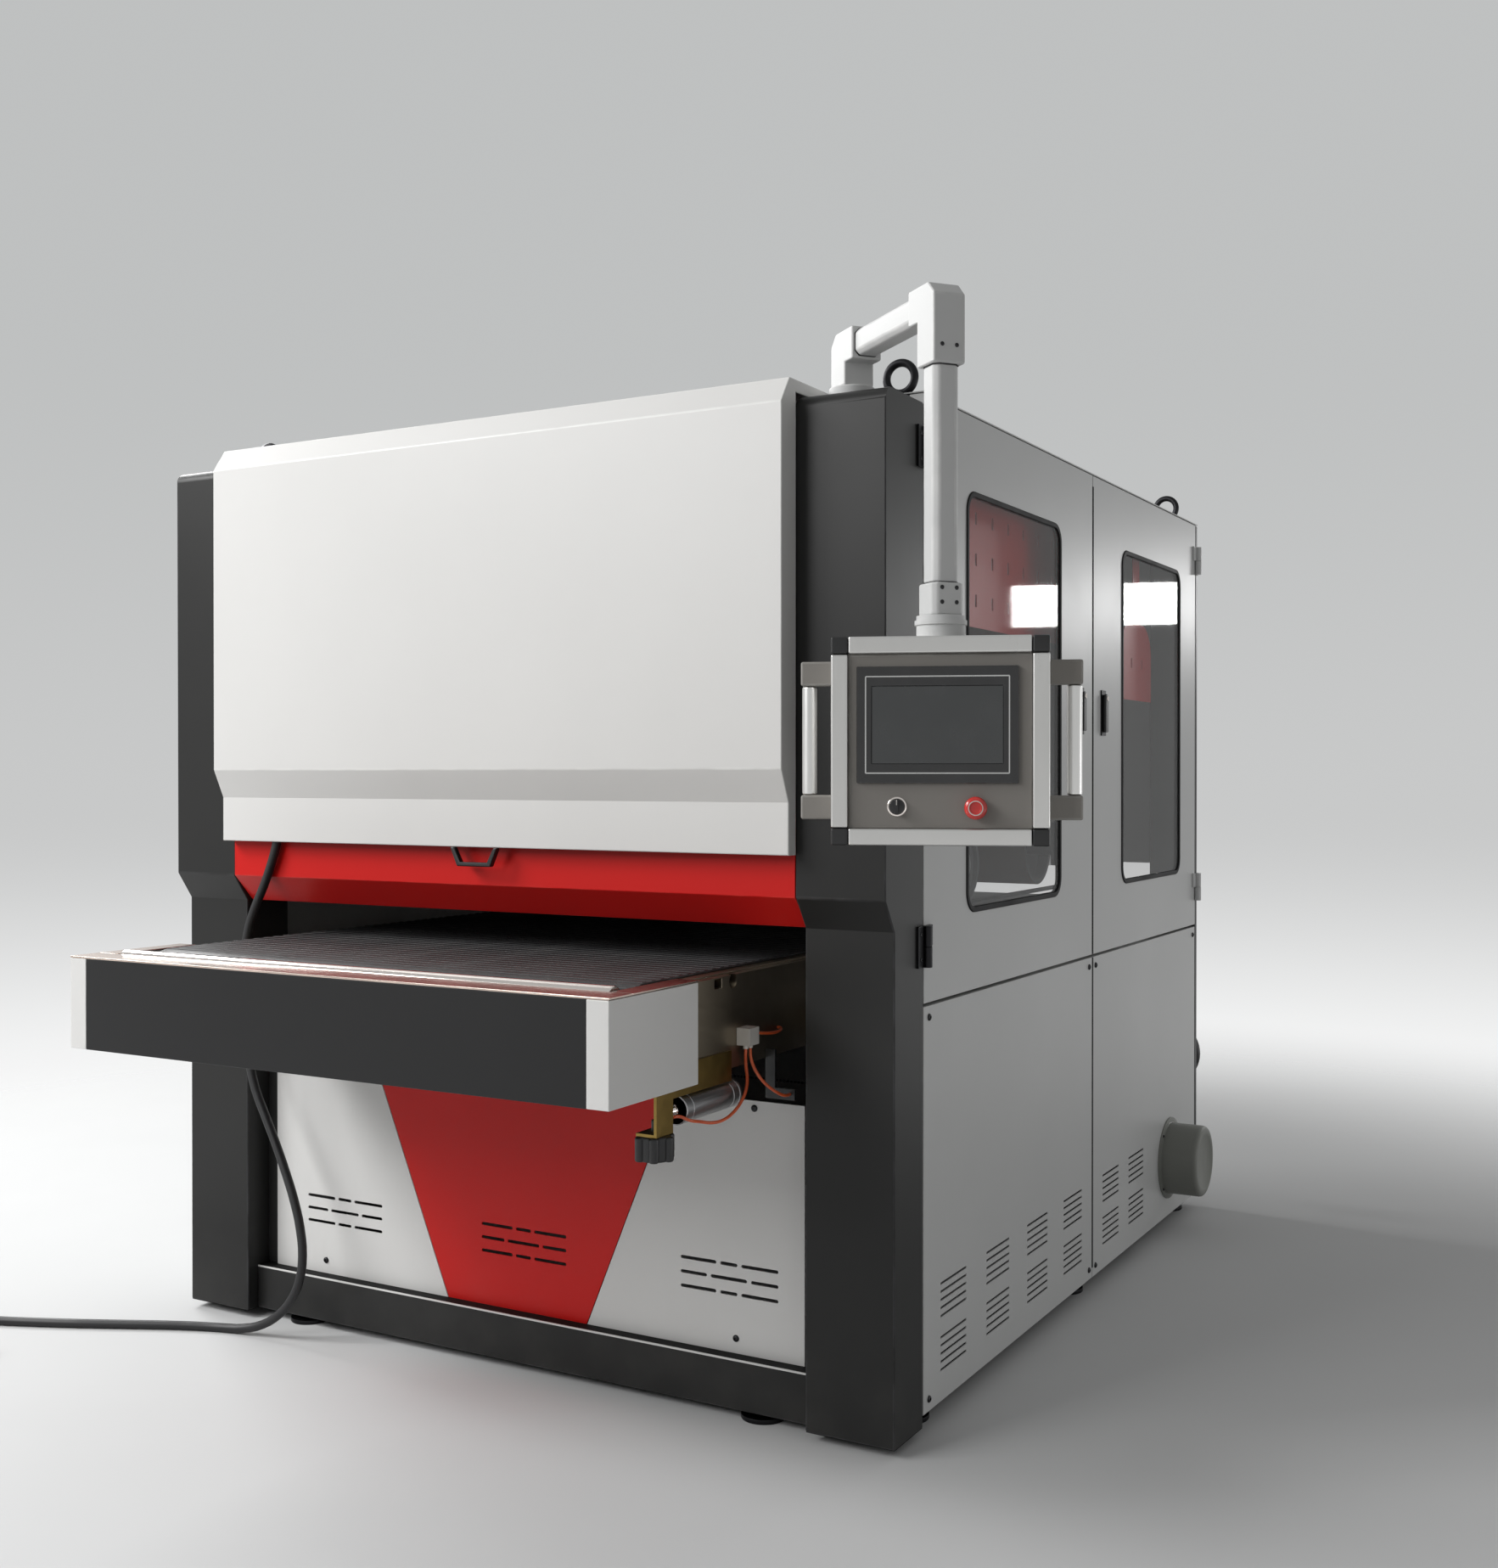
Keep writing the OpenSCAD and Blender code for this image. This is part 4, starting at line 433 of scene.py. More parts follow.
nylon = rubber("gland_nylon", (0.014, 0.014, 0.015), 0.38, 1400)
GLAND = spot(-0.585, -0.054, 0)
BOOT_TOP, BOOT_PITCH, BOOT_TAPER = 1.178, 0.0056, 0.0003
boot = [(1.196, 0.0125), (1.180, 0.0130)]
for ring in range(5):
    z, thin = BOOT_TOP - ring * BOOT_PITCH, ring * BOOT_TAPER
    boot += [(z, 0.0129 - thin), (z - 0.002, 0.0118 - thin), (z - 0.004, 0.0118 - thin)]
boot += [(1.150, 0.0108)]
gland_parts = [turned(32, boot, GLAND, finish=nylon)]
for low, high in ((1.1902, 1.1958), (1.2002, 1.2088)):
    nut = turned(6, [(low, 0.0128), (high, 0.0128)], GLAND, finish=nylon)
    gland_parts.append(rounded(nut, 0.0008))
gland_parts.append(turned(24, [(1.195, 0.0105), (1.209, 0.0105)], GLAND, finish=nylon))
fit(joined("cord_gland_fitting", gland_parts), "frame", "cord_rubber", "cord_gland")

TIE_W, TIE_T, TIE_H, TIE_Z, TIE_BEND = 0.014, 0.0016, 0.042, 0.0215, 0.009
tie_angle = cord_heading + math.pi / 2
tie_in, tie_out = COIL_IN - COIL_PITCH / 2 - 0.001, coil_out + COIL_PITCH / 2 - 0.0005
bpy.ops.mesh.primitive_cube_add(size=1, location=((tie_in + tie_out) / 2, 0, TIE_Z))
cord_tie = bpy.context.object
cord_tie.scale = (tie_out - tie_in, TIE_W, TIE_H)
bpy.ops.object.transform_apply()
with editing(cord_tie):
    pick(cord_tie, "EDGE", lambda edge: abs(edge.verts[0].co.y - edge.verts[1].co.y) > TIE_W / 2)
    bpy.ops.mesh.bevel(offset=TIE_BEND, segments=5, affect="EDGES")
    pick(cord_tie, "FACE", lambda face: abs(face.normal.y) > 0.9)
    bpy.ops.mesh.delete(type="FACE")
band = cord_tie.modifiers.new("band", "SOLIDIFY")
band.thickness = TIE_T
band.offset = 1
bpy.ops.object.modifier_apply(modifier="band")
cord_tie.rotation_euler = (0, 0, tie_angle)
cord_tie.location = spot(coil_mid.x, coil_mid.y, 0.0)
bpy.ops.object.transform_apply()
bpy.ops.object.shade_smooth_by_angle(angle=math.radians(38))
cord_tie.name = "cord_tie_strap"
cord_tie.data.materials.append(rubber("tie_nylon", (0.02, 0.02, 0.022), 0.8, 2200))
fit(cord_tie, "frame", "cord_rubber")

plug_red = rubber("plug_plastic", (0.42, 0.018, 0.014), 0.4, 1200)
cord_plug = eased("cord_plug", "cord_plug_moulding", plug_red, "plug_plastic", 0.0012)


# Columns
# Two tall boxes of folded 4 mm steel sheet, welded to the base frame, with a step forward at table
# height and a rolled top edge. They are powder coated charcoal with a satin, slightly pebbled skin.
def powder_coat(name, colour, roughness, worn_highlit_edge, cloud=0.05, peel=420, **shader):
    """Baked powder paint: clouds of tone, an orange-peel skin, edges paler from wear and a painted
    highlight, floor dust.
    """
    material, coat, place = new_finish(name, Specular_IOR_Level=0.24, **shader)
    tone = place.noise(1.6, 3.0).step(0.25, 0.75)
    paint = tone.blend([c * (1 - cloud) for c in colour], [c * (1 + cloud) for c in colour])
    # Marked edges turn paler in noisy patches: partly wear, partly a painted highlight along the
    # edges.
    edge = place.node("Attribute", {"attribute_name": "edge_wear_and_highlight"}, None, out=2)
    paint = (edge * place.noise(14.0, 4.0).step(0.3, 0.7)).blend(paint, worn_highlit_edge)
    low = 1 - place.node("SeparateXYZ", None, {0: place}, out=2).step(0.02, 0.32)
    dust = low * place.noise(7.0, 4.0).step(0.35, 0.9) * 0.06
    place.join(dust.blend(paint, (0.33, 0.31, 0.28)), coat.inputs["Base Color"])
    dull = place.noise(5.0, 4.0).step(0.3, 0.8) * 0.03 + dust
    place.join(dull + (roughness - 0.015), coat.inputs["Roughness"])
    skin = {"Height": place.noise(peel, 2.0), "Strength": 0.12, "Distance": 0.0004}
    place.join(place.node("Bump", None, skin), coat.inputs["Normal"])
    return material


charcoal = powder_coat("charcoal_paint", (0.021, 0.021, 0.0205), 0.38, (0.045, 0.045, 0.047))
for column in ("left_column", "right_column"):
    eased(column, column + "_sheet", charcoal, "charcoal_paint", 0.0035, least=0.02, segments=3)


# Base and frame rails
# Square steel tube, mitred and welded into a cage: base rails, front beam, stiles, rear posts and
# the top rails that carry the sanding heads. Painted with the same charcoal powder coat.
eased("frame_rails", "frame_rails_tube", charcoal, "charcoal_paint", 0.004, least=0.02)


# Lower front panels
# Two white sheets and a red one between them, laser cut with staggered dash vents, 3 mm thick and
# screwed flat to the stiles and the base beam. On the beam a pale strip is a painted highlight
# along its front edge, and a black strip behind it is painted shadow in the gap under the panels.
white_front = powder_coat(
    "front_paint", (0.71, 0.705, 0.69), 0.42, (0.78, 0.775, 0.76), cloud=0.025
)
signal_red = powder_coat("red_paint", (0.60, 0.010, 0.008), 0.36, (0.66, 0.03, 0.024), cloud=0.05)
front_panels = eased(
    "front_panels", "front_panel_sheets", [white_front, signal_red], "front_paint",
    0.0007, least=0.02,
)
RED_TOP, RED_FOOT, PANEL_TOP, PANEL_FOOT = 0.400, 0.185, 0.627, 0.118


def by_face(piece, choose, middle=ORIGIN):
    """Gives each face the material whose number choose() returns for its place from middle."""
    for face in piece.data.polygons:
        face.material_index = int(choose(face.center - middle))


def in_red(at):
    """Whether a place on the front is on the red panel, which narrows downwards."""
    rise = (at.z - PANEL_FOOT) / (PANEL_TOP - PANEL_FOOT)
    return abs(at.x) < RED_FOOT + rise * (RED_TOP - RED_FOOT) + 0.001


by_face(front_panels, in_red)
seam_rubber_and_painted_shadow = rubber("seam_rubber_and_painted_shadow", (0.006, 0.006, 0.006), 0.7, 700, Specular_IOR_Level=0.2)
BEAM_HALF, BEAM_Y, BEAM_TOP, PANEL_Y = 0.734, 0.030, 0.118, 0.061
STRIP, STRIP_OUT, SHADOW_SEAL_TOP = 0.0030, 0.0005, 0.0008
# The pale strip paints the highlight on the beam's edge; the black one paints shadow on its top
# face.
beam_painted_highlight_and_shadow = [
    block(
        spot(-BEAM_HALF, BEAM_Y - STRIP_OUT, BEAM_TOP - STRIP),
        spot(BEAM_HALF, BEAM_Y + STRIP, BEAM_TOP + STRIP_OUT), 0.0004, white_front,
    ),
    block(
        spot(-BEAM_HALF, BEAM_Y + STRIP, BEAM_TOP - STRIP),
        spot(BEAM_HALF, PANEL_Y - STRIP_OUT, BEAM_TOP + SHADOW_SEAL_TOP), 0.0003, seam_rubber_and_painted_shadow,
    ),
]
fit(joined("front_beam_painted_highlight_and_shadow", beam_painted_highlight_and_shadow), "frame", "front_paint")


# Red crossbar
# One folded 4 mm sheet across the infeed above the table, with a flat face, a slanted lower face
# and a flange that holds the cord gland. Powder coated red.
eased("red_crossbar", "red_crossbar_sheet", signal_red, "red_paint", 0.0016, least=0.02, segments=3)


# Side, rear and roof panels
# Folded steel trays hung on the frame and screwed at their corners, light grey powder coat. The
# lower right panels have rows of punched slots, and a rubber edge closes the seam between them.
SKIN_IN, REAR_IN = 0.915, 2.12
light_grey = powder_coat("grey_paint", (0.55, 0.555, 0.55), 0.34, (0.58, 0.58, 0.57), cloud=0.03)
eased(
    "right_side_panels", "right_side_panel_trays", light_grey, "grey_paint", 0.0022, least=0.2,
    where=lambda at: at.x > SKIN_IN,
)
eased(
    "cabinet_panels", "cabinet_panel_trays", light_grey, "grey_paint", 0.0022, least=0.2,
    where=lambda at: abs(at.x) > SKIN_IN or at.y > REAR_IN,
)
eased("roof_panel", "roof_panel_sheet", light_grey, "grey_paint", 0.0012, least=0.02)

HALF_W, SEAM_Y, SEAM_Z, SEAM_GAP = 0.9225, 1.155, 0.829, 0.003


def seam_strip(low, high):
    """A push-on rubber edge along the panel behind the seam between the two doors."""
    edge = SEAM_Y + SEAM_GAP / 2
    inner = spot(HALF_W - 0.006, edge - 0.001, low)
    outer = spot(HALF_W + 0.0006, edge + 0.005, high)
    return block(inner, outer, 0.0005, seam_rubber_and_painted_shadow)


lower_seam = seam_strip(0.064, SEAM_Z - SEAM_GAP - 0.001)
lower_seam.name = "lower_seam_edge"
fit(lower_seam, "frame", "cord_rubber")


# Lifting eyes, levelling feet and panel screws
# Forged eye bolts screwed through the roof into the top rails, round steel feet under the base, and
# button-head screws with a socket. All are blackened steel.
def bare_metal(
    name, colour, roughness, grain=60.0, draw=(1, 1, 1), cloud=0.2, marks=1.0, **shader
):
    """Bare metal: a drawn grain along its long way, and cloudy handling marks."""
    material, coat, place = new_finish(name, Metallic=1.0, **shader)
    line = place.node("Mapping", None, {"Vector": place, "Scale": draw}).noise(grain, 3.0)
    haze = place.noise(5.0, 4.0).step(0.3, 0.75)
    place.join(haze.blend(colour, [c * (1 - cloud) for c in colour]), coat.inputs["Base Color"])
    dull = (line * 2 + haze) * (0.08 * marks) + (roughness - 0.12 * marks)
    place.join(dull, coat.inputs["Roughness"])
    skin = {"Height": line, "Strength": 0.1 * marks, "Distance": 0.0003}
    place.join(place.node("Bump", None, skin), coat.inputs["Normal"])
    return material


black_steel = bare_metal(
    "black_steel", (0.028, 0.028, 0.030), 0.42, grain=240, Specular_IOR_Level=0.4
)
eased("lifting_eyes", "lifting_eye_bolts", black_steel, "black_steel", 0.003, segments=3)
eased("levelling_feet", "levelling_foot_pads", black_steel, "black_steel", 0.002)

SCREW_R, SCREW_H = 0.007, 0.004
socket_screw = [(0, 1.0), (0.35, 1.0), (0.75, 0.84), (1.0, 0.58), (1.0, 0.40), (0.45, 0.36)]


def screw_head(place, axis, radius=SCREW_R, height=SCREW_H):
    """A button head with a socket, its seat at place."""
    stations = [(along * height, wide * radius) for along, wide in socket_screw]
    return turned(18, stations, place, axis, finish=screw_steel)


screw_steel = bare_metal("screw_steel", (0.045, 0.045, 0.047), 0.38, grain=300)
COVER_Y, COVER_Z, RIM_R = 1.837, 0.200, 0.104
heads = []
for side in (-1, 1):
    for x, z in ((0.548, 0.1485), (0.590, 0.6117)):
        heads.append(screw_head(spot(side * x, PANEL_Y, z), "-Y"))
for y in (0.158, 1.130, 1.180, 2.080):
    heads += [screw_head(spot(HALF_W, y, z), "X") for z in (0.065, 0.804)]
for quarter in range(4):
    angle = math.radians(45 + 90 * quarter)
    y, z = COVER_Y + RIM_R * math.cos(angle), COVER_Z + RIM_R * math.sin(angle)
    heads.append(screw_head(spot(HALF_W + 0.004, y, z), "X", 0.0035))
fit(joined("panel_screw_heads", heads), "frame", "screw_steel", "panel_screws")


# Dust ducts
# Folded galvanised sheet behind each drum, with a round spigot through the roof for a hose. The
# spigot's rim is beaded so that a hose clamp holds.
def spangled(name):
    """Hot-dip zinc: crystals of slightly different grey and gloss."""
    material, coat, place = new_finish(name, Metallic=1.0)
    crystal = place.node("TexVoronoi", None, {"Vector": place, "Scale": 70.0}, out=1)
    grey = place.node("RGBToBW", None, {0: crystal})
    place.join(grey.blend((0.36, 0.37, 0.38), (0.56, 0.57, 0.58)), coat.inputs["Base Color"])
    place.join(grey * 0.2 + 0.32, coat.inputs["Roughness"])
    return material


zinc = spangled("galvanised")
eased("dust_ports", "dust_duct_sheets", zinc, "galvanised", 0.0008, least=0.02)
HEAD_YS, DUCT_BACK = (0.640, 1.660), 0.200
PORT_X, PORT_R, ROOF_TOP = -0.300, 0.075, 2.008
BEAD = ((-0.004, -0.0005), (-0.002, 0.0015), (0, 0.002), (0.002, 0.0015), (0.004, -0.0005))


def opened(ring):
    """Takes the two end faces off a turned ring."""
    with editing(ring):
        pick(ring, "FACE", lambda face: len(face.verts) > 8)
        bpy.ops.mesh.delete(type="FACE")
    return ring


beads = []
for head_y in HEAD_YS:
    for z in (ROOF_TOP + 0.088, ROOF_TOP + 0.040):
        bead = [(z + up, PORT_R + out) for up, out in BEAD]
        place = spot(PORT_X, head_y + DUCT_BACK, 0)
        beads.append(opened(turned(64, bead, place, finish=zinc)))
fit(joined("dust_spigot_beads", beads), "frame", "galvanised")


# Main motor and its belts
# A finned induction motor on a foot in the base; a drawn steel drum on the side panel covers its
# outboard bearing. One ribbed belt goes up to the rear drum and one from there to the front drum.
motor_grey = powder_coat("motor_paint", (0.30, 0.305, 0.30), 0.45, (0.42, 0.42, 0.41))
FIN_SIDES = 64


def finned(place, axis, length, core, fin, finish):
    """A motor body with cooling fins along it, from place for that length."""
    steps = [(0, core * 0.6), (0.006, core * 0.94), (0.03, core), (length - 0.03, core)]
    steps += [(length - 0.006, core * 0.94), (length, core * 0.6)]
    body = turned(FIN_SIDES, steps, place, axis, finish=finish)
    way = Vector((1, 0, 0)) if axis == "X" else Vector((0, 1, 0))
    middle = place + way * (length / 2)

    def every_other(face):
        out = face.calc_center_median() - middle
        turn = math.atan2(out.z, out.x + out.y - out.dot(way)) / (2 * math.pi)
        on_side = abs(out.dot(way)) < length / 4 and abs(face.normal.dot(way)) < 0.2
        return on_side and round(turn * FIN_SIDES - 0.5) % 2 == 0

    with editing(body):
        pick(body, "FACE", every_other)
        bpy.ops.mesh.extrude_region_shrink_fatten(
            TRANSFORM_OT_shrink_fatten={"value": fin - core}
        )
    return body


shell = finned(spot(0.250, COVER_Y, COVER_Z), "X", 0.350, 0.070, 0.0775, motor_grey)
motor_foot = block(spot(0.310, 1.717, 0.1183), spot(0.540, 1.897, 0.150), 0.004, motor_grey)
motor_saddle = block(spot(0.330, 1.777, 0.140), spot(0.520, 1.897, 0.170), 0.004, motor_grey)
terminal_box = block(spot(0.380, 1.795, 0.262), spot(0.470, 1.879, 0.2775), 0.004, motor_grey)
cover_steps = [
    (0, 0.112), (0.0035, 0.112), (0.004, 0.1112), (0.004, 0.0995), (0.006, 0.0975),
    (0.088, 0.097), (0.094, 0.0958), (0.0982, 0.0925), (0.100, 0.0875), (0.100, 0.074),
    (0.0985, 0.072), (0.0985, 0.012),
]
cover_grey = powder_coat("cover_paint", (0.22, 0.225, 0.205), 0.42, (0.33, 0.33, 0.31))
motor_cover = turned(64, cover_steps, spot(HALF_W, COVER_Y, COVER_Z), "X", finish=cover_grey)
motor_parts = [shell, motor_foot, motor_saddle, terminal_box]
fit(joined("main_motor_body", motor_parts), "frame", "motor_paint", "main_motor")
motor_cover.name = "motor_cover_drum"
fit(motor_cover, "frame", "motor_paint")

ground_steel = bare_metal("drum_steel", (0.46, 0.465, 0.475), 0.34, grain=30, draw=(0.3, 14, 14))
eased("motor_pulley", "motor_pulley_turned", ground_steel, "drum_steel", 0.0015)
drive_rubber = rubber("drive_rubber", (0.016, 0.016, 0.017), 0.6, 700)
eased("drive_belts", "drive_belt_loops", drive_rubber, "drive_rubber", 0.0012)


# Table lift
# Four rolled trapezoidal screws stand on the base and turn in nuts under the table. A roller chain
# round their sprockets couples them, and a handwheel drives it through a small bevel gearbox.
thread_steel = bare_metal("screw_steel_ground", (0.40, 0.405, 0.41), 0.36, grain=50)
SCREW_X, SCREW_YS = 0.690, (0.300, 1.750)
SCREW_FOOT, SCREW_TOP, SCREW_CORE = 0.1183, 0.880, 0.016
THREAD_FOOT, THREAD_PITCH, THREAD_TURNS = 0.336, 0.010, 53
COLLAR_R, COLLAR_TOP, COLLAR_CUT = 0.030, 0.138, 0.002
SPROCKET_Z, SPROCKET_H, DISC_R, TOOTH_H, TOOTH_SIDES = 0.308, 0.008, 0.040, 0.0055, 48


def lift_screw(name, x, y):
    """A screw with its collar, sprocket and rolled thread."""
    axis = spot(x, y, 0)
    core = [(SCREW_FOOT, COLLAR_R - COLLAR_CUT), (SCREW_FOOT + COLLAR_CUT, COLLAR_R)]
    core += [(COLLAR_TOP - COLLAR_CUT, COLLAR_R), (COLLAR_TOP, COLLAR_R - COLLAR_CUT)]
    core += [(COLLAR_TOP, SCREW_CORE), (SCREW_TOP - 0.003, SCREW_CORE)]
    core += [(SCREW_TOP, SCREW_CORE - 0.003)]
    rod = turned(32, core, axis, finish=thread_steel)
    bpy.ops.mesh.primitive_plane_add(size=1)
    thread = bpy.context.object
    thread.rotation_euler = (QUARTER, 0, 0)
    thread.scale = (0.0045, 0.006, 1)
    thread.location = (SCREW_CORE + 0.0018, 0, THREAD_FOOT)
    bpy.ops.object.transform_apply()
    with editing(thread):
        pick(thread, "EDGE", lambda edge: all(v.co.x > SCREW_CORE + 0.003 for v in edge.verts))
        bpy.ops.transform.resize(value=(1, 1, 0.45), center_override=(0, 0, THREAD_FOOT))
    wind = thread.modifiers.new("wind", "SCREW")
    wind.angle = 2 * math.pi
    wind.screw_offset = THREAD_PITCH
    wind.iterations = THREAD_TURNS
    wind.steps = wind.render_steps = 16
    wind.use_merge_vertices = True
    bpy.ops.object.modifier_apply(modifier="wind")
    with editing(thread):
        bpy.ops.mesh.normals_make_consistent(inside=False)
    thread.location = axis
    bpy.ops.object.transform_apply()
    thread.data.materials.append(thread_steel)
    disc = [(SPROCKET_Z, DISC_R), (SPROCKET_Z + SPROCKET_H, DISC_R)]
    wheel = turned(TOOTH_SIDES, disc, axis, finish=thread_steel)

    def tooth(face):
        out = face.calc_center_median() - axis
        turn = math.atan2(out.y, out.x) / (2 * math.pi)
        return abs(face.normal.z) < 0.5 and round(turn * TOOTH_SIDES - 0.5) % 2 == 0

    with editing(wheel):
        pick(wheel, "FACE", tooth)
        bpy.ops.mesh.extrude_faces_move(TRANSFORM_OT_shrink_fatten={"value": TOOTH_H})
    return fit(joined(name + "_threaded", [rod, thread, wheel]), name, "screw_steel_ground", name)


for end, y in zip(("front", "rear"), SCREW_YS):
    for side, x in (("left", -SCREW_X), ("right", SCREW_X)):
        lift_screw(f"{end}_{side}_lift_screw", x, y)


def ringed(link, count, size, corner, steps, middle=(0, 0, 0)):
    """Sets copies of a link nose to tail along a loop of that size with round corners."""
    bpy.ops.mesh.primitive_plane_add(size=1, location=middle)
    path = bpy.context.object
    path.scale = (*size, 1)
    bpy.ops.object.transform_apply()
    with editing(path):
        bpy.ops.mesh.bevel(offset=corner, segments=steps, affect="VERTICES")
        bpy.ops.mesh.select_all(action="SELECT")
        bpy.ops.mesh.delete(type="ONLY_FACE")
    bpy.ops.object.convert(target="CURVE")
    alone(link)
    row = link.modifiers.new("row", "ARRAY")
    row.use_relative_offset, row.use_constant_offset = False, True
    row.constant_offset_displace = (path.data.splines[0].calc_length() / count, 0, 0)
    row.count = count
    link.modifiers.new("bend", "CURVE").object = path
    bpy.ops.object.modifier_apply(modifier="row")
    bpy.ops.object.modifier_apply(modifier="bend")
    bpy.data.objects.remove(path)
    return link


chain_steel = bare_metal("chain_steel", (0.11, 0.11, 0.115), 0.4, grain=200)
CHAIN_R, CHAIN_LINKS, CHAIN_Z = 0.0498, 466, 0.312
chain_size = (2 * (SCREW_X + CHAIN_R), SCREW_YS[1] - SCREW_YS[0] + 2 * CHAIN_R)
link = block((-0.0052, -0.003, -0.0034), (0.0052, 0.003, 0.0034), 0.0018, chain_steel, segments=1)
ringed(link, CHAIN_LINKS, chain_size, CHAIN_R, 10, spot(0, sum(SCREW_YS) / 2, CHAIN_Z))
WHEEL_X, WHEEL_Z = 0.790, 0.422
gearbox = block(
    spot(WHEEL_X - 0.038, 2.020, WHEEL_Z - 0.042), spot(0.8119, 2.0997, WHEEL_Z + 0.042),
    0.005, motor_grey,
)
fit(joined("lift_drive_chain", [link, gearbox]), "frame", "chain_steel", "lift_drive")

wheel_black = rubber("handwheel_plastic", (0.013, 0.013, 0.014), 0.35, 900)
eased("lift_handwheel", "lift_handwheel_rim", wheel_black, "black_plastic", 0.002)


# Sanding heads
# Cast arms hang from the head beams and carry a steel contact drum in front, a rubber one behind,
# and a tension roller above each. The abrasive belts are brown cloth with a bonded grain.
cast_grey = powder_coat(
    "cast_grey", (0.10, 0.105, 0.11), 0.55, (0.2, 0.2, 0.2), cloud=0.15, peel=160
)
eased("head_arms", "head_arm_castings", cast_grey, "cast_grey", 0.003, least=0.02)
ground_rubber = rubber("drum_rubber", (0.022, 0.022, 0.023), 0.55, 500)
DRUM_Z, TENSION_Z = 1.0718, 1.700
ROLL_HALF, SHAFT_END, PULLEY = 0.600, 0.685, (0.765, 0.801, 0.080)
GROOVE = ((-0.004, 0), (-0.0018, 0.007), (0.0018, 0.007), (0.004, 0))


def head_roller(node, radius, shaft, wall, place, finish, slot, driven=False):
    """A roller turned on its shaft. A wall dishes its ends, and a driven one has a pulley."""
    tip = [(-SHAFT_END, shaft - 0.001), (-SHAFT_END + 0.001, shaft)]
    rim = [(-ROLL_HALF, shaft)]
    if wall:
        inside = radius - wall
        rim = [(-ROLL_HALF + 0.030, shaft), (-ROLL_HALF + 0.028, inside)]
        rim += [(-ROLL_HALF, inside + 0.001)]
    rim += [(-ROLL_HALF, radius - 0.0015), (-ROLL_HALF + 0.0015, radius)]
    tail = [(-along, wide) for along, wide in reversed(tip)]
    if driven:
        start, end, wide = PULLEY
        tail = [(start, shaft), (start, wide - 0.001), (start + 0.001, wide)]
        for groove in (0.0075, 0.018, 0.0285):
            tail += [(start + groove + along, wide - deep) for along, deep in GROOVE]
        tail += [(end - 0.001, wide), (end, wide - 0.001), (end, wide - 0.011)]
        tail += [(end - 0.008, wide - 0.014), (end - 0.008, 0.036), (end - 0.002, 0.034)]
        tail += [(end - 0.001, shaft), (end - 0.001, 0.006)]
    stations = tip + rim + [(-along, wide) for along, wide in reversed(rim)] + tail
    piece = turned(96, stations, place, "X", finish=ground_steel)
    piece.data.materials.append(finish)
    piece.data.materials.append(cast_grey)

    def coat_at(at):
        reach = math.hypot(at.y, at.z)
        if reach > radius * 0.97 and abs(at.x) < ROLL_HALF:
            return 1
        return 2 if reach > shaft * 1.2 else 0

    by_face(piece, coat_at, place)
    piece.name = node + "_turned"
    return fit(piece, nodes[node]["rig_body"], slot, node)


FRONT_Y, REAR_Y = HEAD_YS
for side, y, cover, slot in (
    ("front", FRONT_Y, ground_steel, "drum_steel"), ("rear", REAR_Y, ground_rubber, "drum_rubber"),
):
    drum, tension = spot(0, y, DRUM_Z), spot(0, y, TENSION_Z)
    head_roller(side + "_drum", 0.105, 0.0246, 0.014, drum, cover, slot, driven=True)
    head_roller(
        side + "_tension_roller", 0.060, 0.0196, 0.008, tension, ground_steel, "drum_steel"
    )
pressure = spot(0, FRONT_Y - 0.200, 0.9953)
head_roller("pressure_roller", 0.030, 0.0116, 0, pressure, ground_rubber, "drum_rubber")


def grit_cloth(name):
    """Abrasive cloth: brown resin with darker and paler grains standing out of it."""
    material, coat, place = new_finish(name, Roughness=0.85)
    grain = place.noise(2600, 2.0)
    patch = place.noise(4.0, 3.0).step(0.3, 0.7)
    brown = patch.blend((0.15, 0.045, 0.025), (0.19, 0.065, 0.036))
    place.join(grain.step(0.52, 0.7).blend(brown, (0.33, 0.17, 0.12)), coat.inputs["Base Color"])
    skin = {"Height": grain, "Strength": 0.6, "Distance": 0.0005}
    place.join(place.node("Bump", None, skin), coat.inputs["Normal"])
    return material


belt_cloth = grit_cloth("abrasive")
eased("abrasive_belts", "abrasive_belt_loops", belt_cloth, "abrasive", 0.0004, least=0.2)


# Red guards
# Slotted 3 mm sheets behind the door windows, hung from the right top rail and painted red.
# Fingers cannot reach the belts through them when a door is shut.
eased("inner_guards", "inner_guard_sheets", signal_red, "red_paint", 0.0007, least=0.02)


# Conveyor table
# A steel bed with thick side plates that carry the lift nuts; a ribbed black rubber belt runs over
# it on two rollers. Bright trim and a chrome roller edge the infeed, a black apron hangs in front.
bed_steel = bare_metal(
    "bed_steel", (0.34, 0.29, 0.22), 0.38, grain=40, draw=(12, 0.6, 12), cloud=0.35
)
# The trim's rose-copper tint is a painted reflection on polished steel.
trim_with_painted_reflection = bare_metal(
    "trim_steel_painted_reflection", (0.70, 0.58, 0.51), 0.24, grain=40, draw=(0.5, 12, 12), marks=0.25
)
TABLE_Z = 0.905
table_bed = eased(
    "table_bed", "table_bed_plates", [bed_steel, trim_with_painted_reflection], "bed_steel", 0.0012, least=0.01
)
by_face(table_bed, lambda at: at.z > TABLE_Z - 0.0042 and at.y < -0.26)


